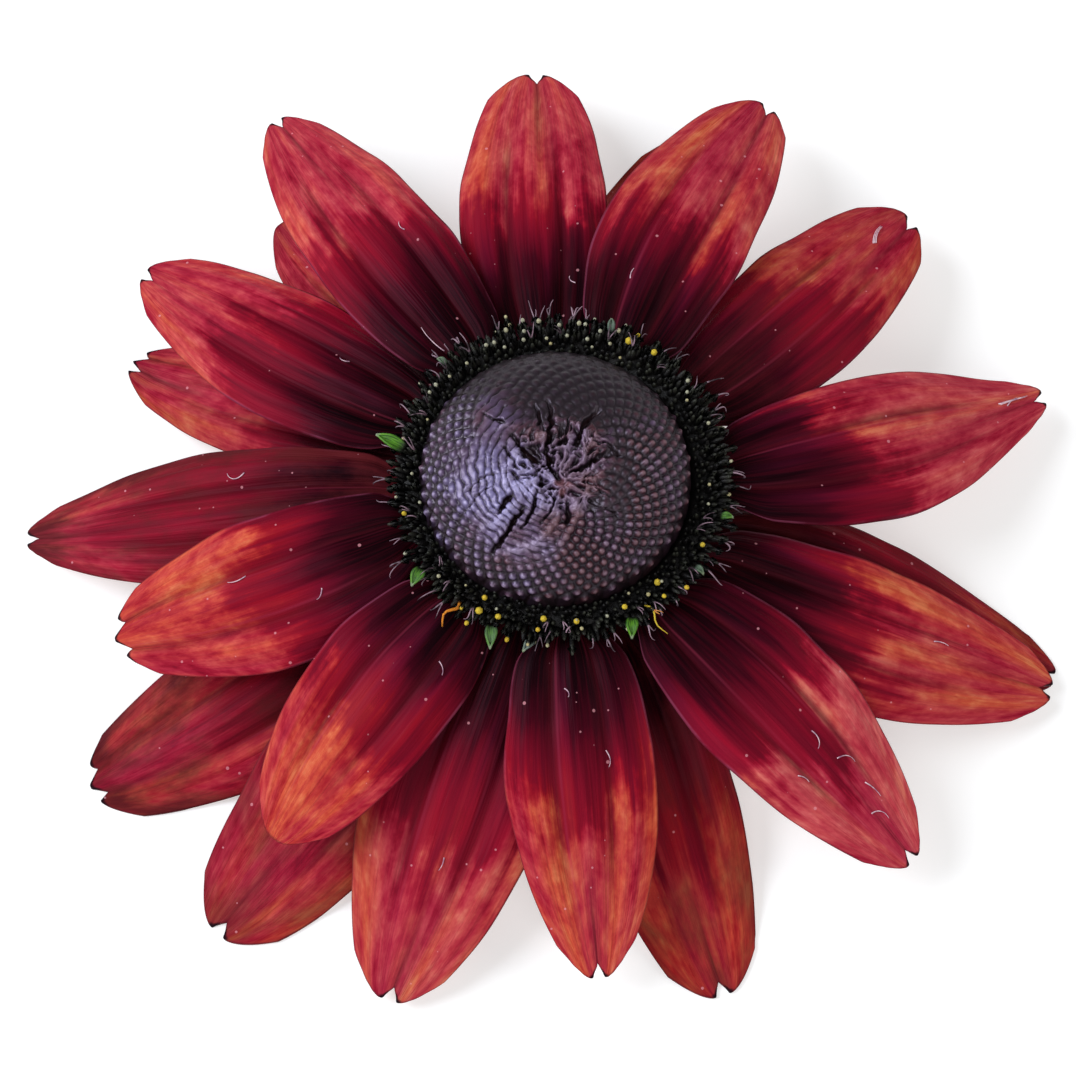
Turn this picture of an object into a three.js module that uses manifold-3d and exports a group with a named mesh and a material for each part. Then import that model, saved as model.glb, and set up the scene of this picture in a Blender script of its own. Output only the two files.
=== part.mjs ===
// A black-eyed Susan bloom, picked with a short stub of its stem and lying face up.
// Twenty ray petals in three overlapping whorls stand round a dark domed disc of tiny florets.
// It rests on the tips of its lowest whorl and on the stub's cut end, all at z = 0.
// Millimetres, +Z up along the bloom's own axis, origin in the middle of its footprint.
import * as THREE from "three";
import { ConvexHull } from "three/addons/math/ConvexHull.js";
import { mergeVertices } from "three/addons/utils/BufferGeometryUtils.js";
import Module from "manifold-3d";

const wasm = await Module();
wasm.setup();

// ---- Driving dimensions ----
const SEAT_GAP = 0.3; // between pieces that sit on each other
const STEM_RADIUS = 1.75;
const STEM_TOP_RADIUS = 2.7; // where the stem swells under the bloom
const STEM_TOP_Z = 5.5;
const STEM_STRAIGHT_SHARE = 0.6; // how much of its height is straight
const STEM_SIDES = 14;

const RIM_RADIUS = 10.6; // the receptacle's rim, which carries the petals' claws
const RIM_BOTTOM_Z = 8.4;
const RIM_TOP_Z = 12.4;
const CUP_BOTTOM_RADIUS = 9.0;
const CUP_SIDES = 40;
const BRACT_COUNT = 13; // in each of two rows
const BRACT_THICKNESS = 0.7;
const BRACT_STEPS = 6; // along each blade
const BRACT_KEEL = 0.3; // how far a bract's edges hang below its middle
const BRACT_ROOT_RADIUS = 8.4; // inside the cup's wall
const BRACT_ARCH_RADIUS = 12.2; // where its first handle ends, on the way out
const LONG_BRACT = { rootZ: 6.7, reach: [16, 17], tipZ: [1.6, 3.0], width: 3.9 };
const SHORT_BRACT = { rootZ: 7.9, reach: [13.6, 14.6], tipZ: [4.6, 5.4], width: 3.4 };

const DOME_RADIUS = 10.4;
const DOME_HEIGHT = 5.6;
const DOME_BASE_Z = RIM_TOP_Z + SEAT_GAP;
const DOME_LEAN = 2.0; // how far the pole stands off the axis, towards -Y
const DOME_ROUNDING = 2.6; // 2 is a half ellipse, more is flatter on top
const DOME_RIM_SIDES = 72;
const DIMPLE_DEPTH = 0.9; // the hollow at the pole
const DIMPLE_SHARE = 0.42; // its radius, as a share of the dome's
const BUD_COUNT = 460; // closed florets on the dome
const BUD_RELIEF = 0.42; // how far they stand out at the dome's edge
const BUD_INWARD_SHARE = 0.15; // how far the hollows between them draw in, as a share of their depth

const COLLAR_OUTER_RADIUS = 12.3; // the ring that carries the open florets
const COLLAR_BOTTOM_Z = 12.65;
const COLLAR_HEIGHT = 0.75;
const COLLAR_SIDES = 36;
const OPEN_FLORETS = 36; // in each row
const FLORET_SINK = 0.35; // how deep their feet stand in the collar
const FLORET_FOOT_RADIUS = 0.36;
const FLORET_MOUTH_RADIUS = 0.58;
const FLORET_ROWS = [
  // lean outwards in degrees
  { radius: 11.3, lean: [8, 24], length: [1.6, 2.3] },
  { radius: 11.9, lean: [44, 58], length: [1.9, 2.4] },
];

const PETAL_THICKNESS = 0.6;
const PETAL_ROOT_RADIUS = RIM_RADIUS + SEAT_GAP;
const CLAW_WIDTH = 2.4; // the petal's narrow root
const TIP_SHARE = 0.22; // the blunt tip's width, as a share of the petal's
const CROWN = 0.4; // how far a petal's edges hang below its middle
const LOBE_HEIGHT = 0.3; // three lengthwise lobes, with a furrow between each two
const TOOTH_DEPTH = 0.8; // the notches between the teeth at the tip
const TIP_ROUNDING = 0.8; // how far the tip's corners stand back
const HANDLE_SHARE = 0.36; // the midline's handles, as a share of its length
const PETAL_ROWS = 12;
const PETAL_COLUMNS = 6;

// The whorls, from the lowest up: the height of their claws on the rim, and in degrees
// how steeply a petal climbs from the rim and how steeply its tip points down.
const WHORLS = {
  low: { z: 9.3, rise: -4, drop: 4 },
  middle: { z: 10.5, rise: 0, drop: 20 },
  high: { z: 11.7, rise: 4, drop: 22 },
};

// Each petal, clockwise as seen from above. Angles are in degrees from +X, lengths in mm.
// root and tip are the azimuths of claw and tip, reach and height place the tip.
// taper sharpens the outer half. sway bows the petal sideways and roll tilts its blade,
// both positive anticlockwise. teeth are the points at the tip.
const PETALS = [
  // root, tip, reach, height, whorl, width, taper, sway, roll, teeth
  [95, 93.0, 39.2, 4.0, "middle", 12.0, 0.0, 0.5, 0, 2],
  [76, 73.0, 36.8, -0.1, "low", 10.5, 0.0, 0.0, 0, 2],
  [66, 65.0, 39.8, 5.0, "high", 11.2, 0.1, 0.9, 0, 2],
  [35, 42.6, 38.8, 4.0, "middle", 10.7, 0.1, -0.8, 0, 2],
  [3, 15.7, 40.6, 2.5, "high", 12.2, 0.7, -1.5, 0, 3],
  [-18, -17.0, 41.0, -0.1, "low", 10.0, 0.1, 0.6, 0, 2],
  [-30, -19.2, 41.0, 1.2, "middle", 12.0, 0.1, -1.5, 0, 2],
  [-53, -46.0, 38.9, 4.0, "high", 11.8, 0.1, 0.5, 3, 2],
  [-71, -71.5, 39.6, -0.1, "low", 11.5, 0.0, 0.0, 0, 2],
  [-87, -85.4, 37.1, 3.6, "high", 11.5, 0.1, 0.0, -4, 2],
  [-106, -109.0, 40.3, 1.0, "middle", 14.0, 0.1, 0.0, 0, 2],
  [-128, -128.8, 34.6, 7.0, "high", 11.3, 0.0, -0.4, -5, 2],
  [-117, -129.0, 42.0, -0.1, "low", 13.2, -0.1, -0.4, -12, 2],
  [-143, -150.0, 42.3, -0.1, "low", 12.4, -0.1, 0.6, -15, 3],
  [-161, -162.6, 36.1, 6.0, "high", 12.0, 0.0, 1.2, -12, 3],
  [-176, -179.3, 42.5, 0.8, "middle", 11.0, 0.15, 0.3, 0, 2],
  [161, 156.8, 38.0, -0.1, "low", 9.5, 0.0, 0.0, 0, 3],
  [150, 147.4, 39.9, 3.5, "middle", 10.9, 0.05, 1.0, 0, 2],
  [131, 130.0, 35.8, -0.1, "low", 8.8, 0.0, 0.0, 0, 1],
  [122, 123.8, 41.8, 4.5, "high", 10.9, 0.15, 0.5, 0, 2],
].map(([root, tip, reach, height, whorl, width, taper, sway, roll, teeth]) => {
  return { root, tip, reach, height, whorl, width, taper, sway, roll, teeth };
});

const { degToRad, smoothstep } = THREE.MathUtils;
const TURN = 2 * Math.PI;

// ---- Finishes ----
const finish = (color, roughness) => new THREE.MeshStandardMaterial({ color, roughness, metalness: 0 });
const petalFinish = finish(0x8c1f2c, 0.55);
const discFinish = finish(0x2b2026, 0.4);
const floretFinish = finish(0x15110f, 0.6);
const leafFinish = finish(0x4d6b2c, 0.7);

// ---- Shared shapes and joins ----
// A random draw from a fixed seed, so that every build is the same.
let seed = 20417;
function draw(low, high) {
  seed = (seed * 16807) % 2147483647;
  return low + ((high - low) * seed) / 2147483647;
}

function meshGeometry(positions, index) {
  const geometry = new THREE.BufferGeometry();
  geometry.setAttribute("position", new THREE.Float32BufferAttribute(positions, 3));
  geometry.setIndex(index);
  return geometry;
}

// A closed blade from a grid of points. place(row, column, side) has side 1 on top and -1 below.
function bladeGeometry(rows, columns, place) {
  const positions = [];
  for (const side of [1, -1])
    for (let row = 0; row <= rows; row++)
      for (let column = 0; column <= columns; column++) positions.push(...place(row, column, side));
  const top = (row, column) => row * (columns + 1) + column;
  const under = (row, column) => (rows + 1) * (columns + 1) + top(row, column);
  const index = [];
  for (let row = 0; row < rows; row++)
    for (let column = 0; column < columns; column++) {
      const corners = [[row, column], [row + 1, column], [row + 1, column + 1], [row, column + 1]];
      const [a, b, c, d] = corners.map((corner) => top(...corner));
      const [e, f, g, h] = corners.map((corner) => under(...corner));
      index.push(a, c, b, a, d, c, e, f, g, e, g, h);
    }
  const wall = (from, to) => {
    index.push(top(...from), under(...to), under(...from), top(...from), top(...to), under(...to));
  };
  for (let row = 0; row < rows; row++) {
    wall([row, 0], [row + 1, 0]);
    wall([row + 1, columns], [row, columns]);
  }
  for (let column = 0; column < columns; column++) {
    wall([0, column + 1], [0, column]);
    wall([rows, column], [rows, column + 1]);
  }
  return meshGeometry(positions, index);
}

function solid(geometry) {
  const bare = geometry.clone();
  bare.deleteAttribute("normal");
  bare.deleteAttribute("uv");
  const merged = mergeVertices(bare);
  const vertProperties = Float32Array.from(merged.attributes.position.array);
  const triVerts = Uint32Array.from(merged.index.array);
  return new wasm.Manifold(new wasm.Mesh({ numProp: 3, vertProperties, triVerts }));
}

// One body out of many: only its outer skin is kept, so what the join seals inside is filled.
function joined(geometries) {
  const union = geometries.map(solid).reduce((sum, next) => sum.add(next));
  const skins = union.decompose().sort((a, b) => b.volume() - a.volume());
  const { vertProperties, triVerts } = skins[0].getMesh();
  return meshGeometry(vertProperties, Array.from(triVerts));
}

// A turned shape from [radius, z] points, standing on the XY plane's axis.
function turned(points, segments) {
  const profile = points.map(([radius, z]) => new THREE.Vector2(radius, z));
  return new THREE.LatheGeometry(profile, segments).rotateX(Math.PI / 2);
}

// ---- Stem stub and involucre ----
function stemGeometry() {
  return turned([[0, 0], [STEM_RADIUS, 0], [STEM_RADIUS, STEM_TOP_Z * STEM_STRAIGHT_SHARE],
    [STEM_TOP_RADIUS, STEM_TOP_Z], [0, STEM_TOP_Z]], STEM_SIDES);
}

// A bract leaves the cup below the petals, arches out and turns down to a point.
function bractGeometry({ azimuth, rootZ, reach, tipZ, width }) {
  const curve = new THREE.CubicBezierCurve(
    new THREE.Vector2(BRACT_ROOT_RADIUS, rootZ),
    new THREE.Vector2(BRACT_ARCH_RADIUS, rootZ + 0.2),
    new THREE.Vector2(reach - 0.4, (2 * rootZ + tipZ) / 3),
    new THREE.Vector2(reach, tipZ),
  );
  const blade = bladeGeometry(BRACT_STEPS, 2, (row, column, side) => {
    const s = row / BRACT_STEPS;
    const at = curve.getPoint(s);
    const slope = curve.getTangent(s);
    const across = ((1 - column) * (0.5 + width * Math.min(1, 0.7 + s) * (1 - s ** 1.6))) / 2;
    const up = (side * BRACT_THICKNESS) / 2 - BRACT_KEEL * Math.abs(column - 1) * (1 - s);
    return [at.x - slope.y * up, across, at.y + slope.x * up];
  });
  return blade.rotateZ(azimuth);
}

function involucreGeometry() {
  const cupBottom = STEM_TOP_Z + SEAT_GAP;
  const cup = turned([[0, cupBottom], [CUP_BOTTOM_RADIUS, cupBottom], [RIM_RADIUS, RIM_BOTTOM_Z],
    [RIM_RADIUS, RIM_TOP_Z], [0, RIM_TOP_Z]], CUP_SIDES);
  const bracts = [];
  for (let i = 0; i < 2 * BRACT_COUNT; i++) {
    const azimuth = (TURN * i) / (2 * BRACT_COUNT) + draw(-0.015, 0.015);
    const [long, short] = [LONG_BRACT, SHORT_BRACT].map((kind) => {
      return { ...kind, azimuth, reach: draw(...kind.reach), tipZ: draw(...kind.tipZ) };
    });
    bracts.push(bractGeometry(i % 2 ? short : long));
  }
  return joined([cup, ...bracts]);
}

// ---- Disc ----
// The dome's surface over a unit circle, with its pole moved off the axis.
function domePoint(x, y, relief) {
  const rho = Math.min(1, Math.hypot(x, y));
  const height = DOME_HEIGHT * Math.sqrt(1 - rho ** DOME_ROUNDING);
  const dimple = DIMPLE_DEPTH * (1 - smoothstep(rho, 0, DIMPLE_SHARE));
  const reach = DOME_RADIUS - relief * BUD_INWARD_SHARE;
  return new THREE.Vector3(reach * x, reach * y - DOME_LEAN * (1 - rho * rho), height - dimple - relief);
}

// Closed buds in a sunflower spiral. A convex hull over them gives each bud its neighbours.
// The middle of every three neighbours is sunk, so each bud becomes a low pyramid.
function discGeometry() {
  const buds = [];
  for (let i = 0; i < BUD_COUNT; i++) {
    const rho = 0.975 * Math.sqrt((i + 0.5) / BUD_COUNT);
    const angle = i * Math.PI * (3 - Math.sqrt(5));
    buds.push({ x: rho * Math.cos(angle), y: rho * Math.sin(angle), rho });
  }
  for (let i = 0; i < DOME_RIM_SIDES; i++) {
    const angle = (TURN * i) / DOME_RIM_SIDES;
    buds.push({ x: Math.cos(angle), y: Math.sin(angle), rho: 1 });
  }
  const onSphere = buds.map((bud, i) => {
    const point = new THREE.Vector3(bud.x, bud.y, Math.sqrt(Math.max(0, 1 - bud.rho ** 2)));
    point.bud = i;
    return point;
  });
  const positions = [];
  const index = [];
  for (const bud of buds) positions.push(...domePoint(bud.x, bud.y, 0).toArray());
  const hull = new ConvexHull().setFromPoints(onSphere);
  const isTop = (face) => face.normal.z > 0.01;
  hull.faces.filter(isTop).forEach((face) => {
    const corners = [0, 1, 2].map((k) => buds[face.getEdge(k).head().point.bud]);
    const x = corners.reduce((sum, corner) => sum + corner.x, 0) / 3;
    const y = corners.reduce((sum, corner) => sum + corner.y, 0) / 3;
    const rho = Math.hypot(x, y);
    const relief = BUD_RELIEF * (0.45 + 0.55 * smoothstep(rho, 0.2, 0.8)) * (1 - smoothstep(rho, 0.97, 1));
    face.hollow = positions.length / 3;
    positions.push(...domePoint(x, y, relief).toArray());
  });
  for (const face of hull.faces)
    for (const edge of [0, 1, 2].map((k) => face.getEdge(k))) {
      const from = edge.tail().point.bud;
      const to = edge.head().point.bud;
      if (!isTop(face)) continue;
      if (isTop(edge.twin.face)) index.push(from, edge.twin.face.hollow, face.hollow);
      else index.push(from, to, face.hollow);
    }
  const foot = positions.length / 3;
  positions.push(0, 0, 0);
  for (let i = 0; i < DOME_RIM_SIDES; i++) {
    index.push(foot, BUD_COUNT + ((i + 1) % DOME_RIM_SIDES), BUD_COUNT + i);
  }
  return meshGeometry(positions, index).translate(0, 0, DOME_BASE_Z);
}

// ---- Open florets ----
// Little five-sided trumpets in two rows on a collar round the dome's foot.
function openFloretsGeometry() {
  const inner = DOME_RADIUS + SEAT_GAP;
  const top = COLLAR_BOTTOM_Z + COLLAR_HEIGHT;
  const collar = turned([[inner, COLLAR_BOTTOM_Z], [COLLAR_OUTER_RADIUS, COLLAR_BOTTOM_Z],
    [COLLAR_OUTER_RADIUS, top], [inner, top], [inner, COLLAR_BOTTOM_Z]], COLLAR_SIDES);
  const florets = [];
  FLORET_ROWS.forEach((row, number) => {
    for (let i = 0; i < OPEN_FLORETS; i++) {
      const lean = degToRad(draw(...row.lean));
      const length = draw(...row.length);
      const floret = new THREE.CylinderGeometry(FLORET_MOUTH_RADIUS, FLORET_FOOT_RADIUS, length, 5);
      floret.translate(0, length / 2, 0).rotateX(Math.PI / 2).rotateY(lean);
      floret.translate(row.radius, 0, top - FLORET_SINK);
      florets.push(floret.rotateZ((TURN * (i + number / 2)) / OPEN_FLORETS + draw(-0.03, 0.03)));
    }
  });
  return joined([collar, ...florets]);
}

// ---- Ray petals ----
// Half the blade's width at s, from 0 at the claw to 1 at the tip.
function halfWidth(petal, s) {
  const ends = (CLAW_WIDTH * (1 - s) + TIP_SHARE * petal.width * s) / 2;
  const belly = Math.max(0, Math.sin(Math.PI * s ** 0.86)) ** (0.62 + petal.taper * s);
  return ends + (petal.width / 2 - ends) * belly * smoothstep(s, -0.06, 0.12);
}

// How far the tip stands back at t, from -1 to 1 across it: the notches between its teeth.
function tipSetback(petal, t) {
  const notches = { 1: [], 2: [0], 3: [-1 / 3, 1 / 3] }[petal.teeth];
  const depth = notches.map((at) => Math.max(0, 1 - 4 * Math.abs(t - at)));
  return TOOTH_DEPTH * Math.max(0, ...depth) + TIP_ROUNDING * Math.abs(t) ** 3;
}

// The petal's midline: a curve in the upright plane through its claw and its tip.
function midline(petal) {
  const { z, rise, drop } = WHORLS[petal.whorl];
  const polar = (radius, angle) => new THREE.Vector2(radius * Math.cos(angle), radius * Math.sin(angle));
  const root = degToRad(petal.root);
  const end = polar(petal.reach, degToRad(petal.tip));
  const slant = end.clone().sub(polar(PETAL_ROOT_RADIUS, root)).angle() - root;
  const start = polar(PETAL_ROOT_RADIUS + (CLAW_WIDTH / 2) * Math.abs(Math.sin(slant)), root);
  const length = end.distanceTo(start);
  const along = end.sub(start).normalize();
  const handle = HANDLE_SHARE * length;
  const curve = new THREE.CubicBezierCurve(
    new THREE.Vector2(0, z),
    new THREE.Vector2(handle * Math.cos(degToRad(rise)), z + handle * Math.sin(degToRad(rise))),
    new THREE.Vector2(length - handle * Math.cos(degToRad(drop)), petal.height + handle * Math.sin(degToRad(drop))),
    new THREE.Vector2(length, petal.height),
  );
  return { start, along, length, curve };
}

function petalGeometry(petal) {
  const { start, along, length, curve } = midline(petal);
  return bladeGeometry(PETAL_ROWS, PETAL_COLUMNS, (row, column, side) => {
    const t = 1 - (2 * column) / PETAL_COLUMNS;
    const s = (row / PETAL_ROWS) * (1 - tipSetback(petal, t) / length);
    const at = curve.getPoint(s);
    const slope = curve.getTangent(s);
    const roll = degToRad(petal.roll) * smoothstep(s, -0.03, 0.07) * (1 - smoothstep(s, 0.65, 1));
    const swell = Math.sin(Math.PI * s ** 0.7) ** 0.6;
    const lobes = (LOBE_HEIGHT * swell * (1 + Math.cos(3 * Math.PI * t))) / 2;
    const across = t * halfWidth(petal, s);
    const sideways = petal.sway * Math.sin(Math.PI * s ** 0.8) + across * Math.cos(roll);
    const up = lobes - CROWN * swell * t * t + across * Math.sin(roll) + (side * PETAL_THICKNESS) / 2;
    const outward = at.x - slope.y * up;
    const x = start.x + along.x * outward - along.y * sideways;
    const y = start.y + along.y * outward + along.x * sideways;
    const floor = side > 0 ? PETAL_THICKNESS : 0; // a tip that meets the surface lies flat on it
    return [x, y, Math.max(at.y + slope.x * up, floor)];
  });
}

// ---- The bloom ----
const bloom = new THREE.Group();
function addPiece(name, geometry, material) {
  const piece = new THREE.Mesh(geometry, material);
  piece.name = name;
  bloom.add(piece);
}

addPiece("stem", stemGeometry(), leafFinish);
addPiece("involucre", involucreGeometry(), leafFinish);
addPiece("disc", discGeometry(), discFinish);
addPiece("disc_florets", openFloretsGeometry(), floretFinish);
PETALS.forEach((petal, i) => {
  addPiece(`petal_${String(i + 1).padStart(2, "0")}`, petalGeometry(petal), petalFinish.clone());
});

// The origin goes to the middle of the footprint, on the surface.
const box = new THREE.Box3().setFromObject(bloom);
const middle = box.getCenter(new THREE.Vector3());
bloom.position.set(-middle.x, -middle.y, -box.min.z);

export default bloom;
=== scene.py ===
"""A cut black-eyed Susan bloom lying face up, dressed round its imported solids.

Each piece is drawn in millimetres about the bloom's own axis, with the surface that it lies on at z = 0.
When its mesh is done it is put into the row frame, in metres.
"""
import math
import random

import bmesh
import bpy
from mathutils import Matrix, Vector, kdtree, noise


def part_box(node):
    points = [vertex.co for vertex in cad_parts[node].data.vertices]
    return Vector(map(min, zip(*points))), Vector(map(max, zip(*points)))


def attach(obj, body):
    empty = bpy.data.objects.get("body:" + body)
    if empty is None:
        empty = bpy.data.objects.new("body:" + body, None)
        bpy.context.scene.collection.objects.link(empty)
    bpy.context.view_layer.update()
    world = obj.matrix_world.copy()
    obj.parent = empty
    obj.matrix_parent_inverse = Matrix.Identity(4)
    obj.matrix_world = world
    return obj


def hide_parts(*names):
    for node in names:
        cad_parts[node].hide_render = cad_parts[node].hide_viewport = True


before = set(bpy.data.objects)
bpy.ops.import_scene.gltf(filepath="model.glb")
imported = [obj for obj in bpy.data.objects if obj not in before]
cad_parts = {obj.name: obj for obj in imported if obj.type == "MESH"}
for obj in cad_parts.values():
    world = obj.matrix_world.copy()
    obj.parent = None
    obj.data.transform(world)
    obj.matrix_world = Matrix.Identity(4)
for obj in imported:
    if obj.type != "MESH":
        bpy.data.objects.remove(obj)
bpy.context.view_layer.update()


# ---- Stem stub ----
# The flower's own stalk, cut square below and swelling into the head above: a round green stem with
# faint ribs, a pale pith at the cut, and stiff white bristles all over its skin.
TURN = 2 * math.pi
WELD = 1e-4
stem_low, stem_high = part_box("stem")
AXIS = Vector(((stem_low.x + stem_high.x) / 2, (stem_low.y + stem_high.y) / 2, 0))
TO_ROW = Matrix.Translation(AXIS) @ Matrix.Scale(0.001, 4)

STEM_RADIUS = 1.72
STEM_NECK_RADIUS = 2.66
STEM_HEIGHT = 5.75
STEM_RIBS = 9
RIB_HEIGHT = 0.07
PITH_SHARE = 0.5
# Painted shade: under the flower head the green of the cup is darkened between these heights.
DARK_FROM = 9.2  # heights between which the green of stem and cup turns dark
DARK_FULL = 10.8
CUT_END = 0.2  # share of the profile that runs over the cut, and where it turns in under the head
SKIN_END = 0.9
STEM_BRISTLES = 150
BRISTLE_RADIUS = 0.035
BRISTLE_TIP = 0.15


def smooth(value, low, high):
    """0 below low, 1 above high, and a smooth climb between."""
    share = min(1.0, max(0.0, (value - low) / (high - low)))
    return share * share * (3 - 2 * share)


def round_axis(reach, turn, height):
    """The point at a distance from the flower's axis, an angle round it and a height."""
    return Vector((reach * math.cos(turn), reach * math.sin(turn), height))


def template(name, build):
    """A small shape kept as a mesh, for copying into larger pieces."""
    bm = bmesh.new()
    build(bm)
    mesh = bpy.data.meshes.new(name)
    bm.to_mesh(mesh)
    bm.free()
    return mesh


def rolled(bm, around, along, place):
    """Rolls a flat grid into a closed skin. place(turn, share) gives the point at an angle and along it."""

    def roll(skin):
        bmesh.ops.create_grid(skin, x_segments=around, y_segments=along, size=0.5)
        for corner in skin.verts:
            corner.co = place(TURN * (corner.co.x + 0.5), corner.co.y + 0.5)
        bmesh.ops.remove_doubles(skin, verts=skin.verts, dist=WELD)
        bmesh.ops.recalc_face_normals(skin, faces=skin.faces)

    shape = template("rolled", roll)
    bm.from_mesh(shape)
    bpy.data.meshes.remove(shape)


def bristle(bm, foot, direction, length, radius):
    """A stiff hair: a slim three-sided cone that stands on foot and points along direction."""
    turn = direction.to_track_quat("Z", "Y").to_matrix().to_4x4()
    middle = Matrix.Translation(foot + direction.normalized() * length * 0.5)
    bmesh.ops.create_cone(bm, cap_ends=True, segments=3, radius1=radius, radius2=radius * BRISTLE_TIP,
                          depth=length, matrix=middle @ turn)


def placed(bm, name, materials):
    """Puts a drawn mesh into the row frame as an object, with its materials."""
    bmesh.ops.transform(bm, matrix=TO_ROW, verts=bm.verts)
    mesh = bpy.data.meshes.new(name)
    bm.to_mesh(mesh)
    bm.free()
    mesh.shade_smooth()
    for material in materials:
        mesh.materials.append(material)
    piece = bpy.data.objects.new(name, mesh)
    bpy.context.scene.collection.objects.link(piece)
    return piece


def tint(red, green, blue):
    """A screen colour as the linear colour that a shader takes."""
    return tuple(math.pow((part / 255 + 0.055) / 1.055, 2.4) if part > 10 else part / 255 / 12.92
                 for part in (red, green, blue)) + (1.0,)


def finish(name, roughness, specular, sheen=0.0):
    """A new material: its node tree and its shader. What is the same all over is set on the shader itself."""
    material = bpy.data.materials.new(name)
    material.use_nodes = True
    shader = material.node_tree.nodes["Principled BSDF"]
    shader.inputs["Roughness"].default_value = roughness
    shader.inputs["Specular IOR Level"].default_value = specular
    shader.inputs["Sheen Weight"].default_value = sheen
    return material, material.node_tree, shader


def node(tree, kind, feeds=(), **settings):
    """Adds a shader node. feeds maps an input's name or number to a value or to the output that drives it."""
    made = tree.nodes.new("ShaderNode" + kind)
    for key, value in settings.items():
        setattr(made, key, value)
    for key, value in dict(feeds).items():
        if isinstance(value, bpy.types.NodeSocket):
            tree.links.new(value, made.inputs[key])
        else:
            made.inputs[key].default_value = value
    return made


def climb(tree, value, low, high):
    """0 where value is below low, 1 above high, smooth between. With low the larger, it falls instead."""
    feeds = {"Value": value, "From Min": low, "From Max": high}
    return node(tree, "MapRange", feeds, interpolation_type="SMOOTHSTEP").outputs[0]


def mixed(tree, share, first, second):
    """Colour first where share is 0, second where it is 1."""
    return node(tree, "Mix", {0: share, 6: first, 7: second}, data_type="RGBA").outputs[2]


def grain(tree, vector, scale, detail=3.0, roughness=0.55):
    """Soft random grain, about 0 to 1, with its own size in the units of vector."""
    feeds = {"Vector": vector, "Scale": scale, "Detail": detail, "Roughness": roughness}
    return node(tree, "TexNoise", feeds, noise_dimensions="3D").outputs["Fac"]


def place_in_mm(tree, stretch=(1.0, 1.0, 1.0)):
    """Object coordinates in millimetres, stretched to draw a pattern out along an axis."""
    where = node(tree, "TexCoord").outputs["Object"]
    return node(tree, "Mapping", {"Vector": where, "Scale": [1000.0 * part for part in stretch]}).outputs[0]


def bumped(tree, shader, height, depth_mm, strength=1.0):
    """Fine relief in the shading, depth_mm deep where height goes from 0 to 1."""
    feeds = {"Height": height, "Distance": depth_mm / 1000, "Strength": strength}
    tree.links.new(node(tree, "Bump", feeds).outputs[0], shader.inputs["Normal"])


def stem_skin():
    """Fibrous green, flushed with brown. High up, where it passes under the florets, painted shade makes it
    nearly black.
    """
    material, tree, shader = finish("stem_skin", 0.62, 0.3, 0.1)
    fibres = grain(tree, place_in_mm(tree, (1.0, 1.0, 0.12)), 5.0, 4.0)
    blotches = grain(tree, place_in_mm(tree), 0.9)
    green = mixed(tree, climb(tree, fibres, 0.35, 0.65), tint(66, 88, 40), tint(112, 134, 70))
    flushed = mixed(tree, climb(tree, blotches, 0.56, 0.72), green, tint(96, 62, 46))
    height = node(tree, "SeparateXYZ", {0: place_in_mm(tree)}).outputs[2]
    # Painted shade under the flower head: nearly black above DARK_FROM.
    shaded = mixed(tree, climb(tree, height, DARK_FROM, DARK_FULL), flushed, tint(28, 16, 17))
    tree.links.new(shaded, shader.inputs["Base Color"])
    bumped(tree, shader, fibres, 0.08, 0.6)
    return material


def stem_pith():
    """Pale, spongy cells at the cut."""
    material, tree, shader = finish("stem_pith", 0.8, 0.2)
    cells = grain(tree, place_in_mm(tree), 7.0, 2.0)
    tree.links.new(mixed(tree, cells, tint(176, 190, 138), tint(226, 230, 196)), shader.inputs["Base Color"])
    bumped(tree, shader, cells, 0.1)
    return material


def bristle_skin():
    """Glassy, off-white hair."""
    material, tree, shader = finish("bristle_skin", 0.45, 0.5)
    shade = grain(tree, place_in_mm(tree), 2.0)
    tree.links.new(mixed(tree, shade, tint(190, 196, 170), tint(236, 238, 226)), shader.inputs["Base Color"])
    return material


def stem_radius(share):
    """The stem's radius at a share of its height. It swells under the head."""
    return STEM_RADIUS + (STEM_NECK_RADIUS - STEM_RADIUS) * smooth(share, 0.45, 1.0)


def stem_point(turn, share):
    """Over the cut end, up the ribbed skin and in again under the flower head."""
    if share < CUT_END:
        reach, height = STEM_RADIUS * share / CUT_END, 0.0
    elif share > SKIN_END:
        reach, height = STEM_NECK_RADIUS * (1 - share) / (1 - SKIN_END), STEM_HEIGHT
    else:
        up = (share - CUT_END) / (SKIN_END - CUT_END)
        rib = 1 + RIB_HEIGHT * (math.cos(STEM_RIBS * turn) - 1) / 2
        reach, height = stem_radius(up) * rib, STEM_HEIGHT * up
    return round_axis(reach, turn, height)


draw = random.Random(7)
bm = bmesh.new()
rolled(bm, 72, 40, stem_point)
for face in bm.faces:
    middle = face.calc_center_median()
    if middle.z < WELD and middle.xy.length < STEM_RADIUS * PITH_SHARE:
        face.material_index = 1
for _ in range(STEM_BRISTLES):
    turn, share = draw.uniform(0, TURN), draw.uniform(0.06, 0.97)
    outward = Vector((math.cos(turn), math.sin(turn), draw.uniform(-0.3, 0.7)))
    foot = round_axis(stem_radius(share) * (1 - RIB_HEIGHT), turn, STEM_HEIGHT * share)
    already = len(bm.faces)
    bristle(bm, foot, outward, draw.uniform(0.5, 1.1), BRISTLE_RADIUS)
    bm.faces.ensure_lookup_table()
    for face in bm.faces[already:]:
        face.material_index = 2
stem = placed(bm, "stem_stub", [stem_skin(), stem_pith(), bristle_skin()])
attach(stem, "root")
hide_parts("stem")


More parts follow.
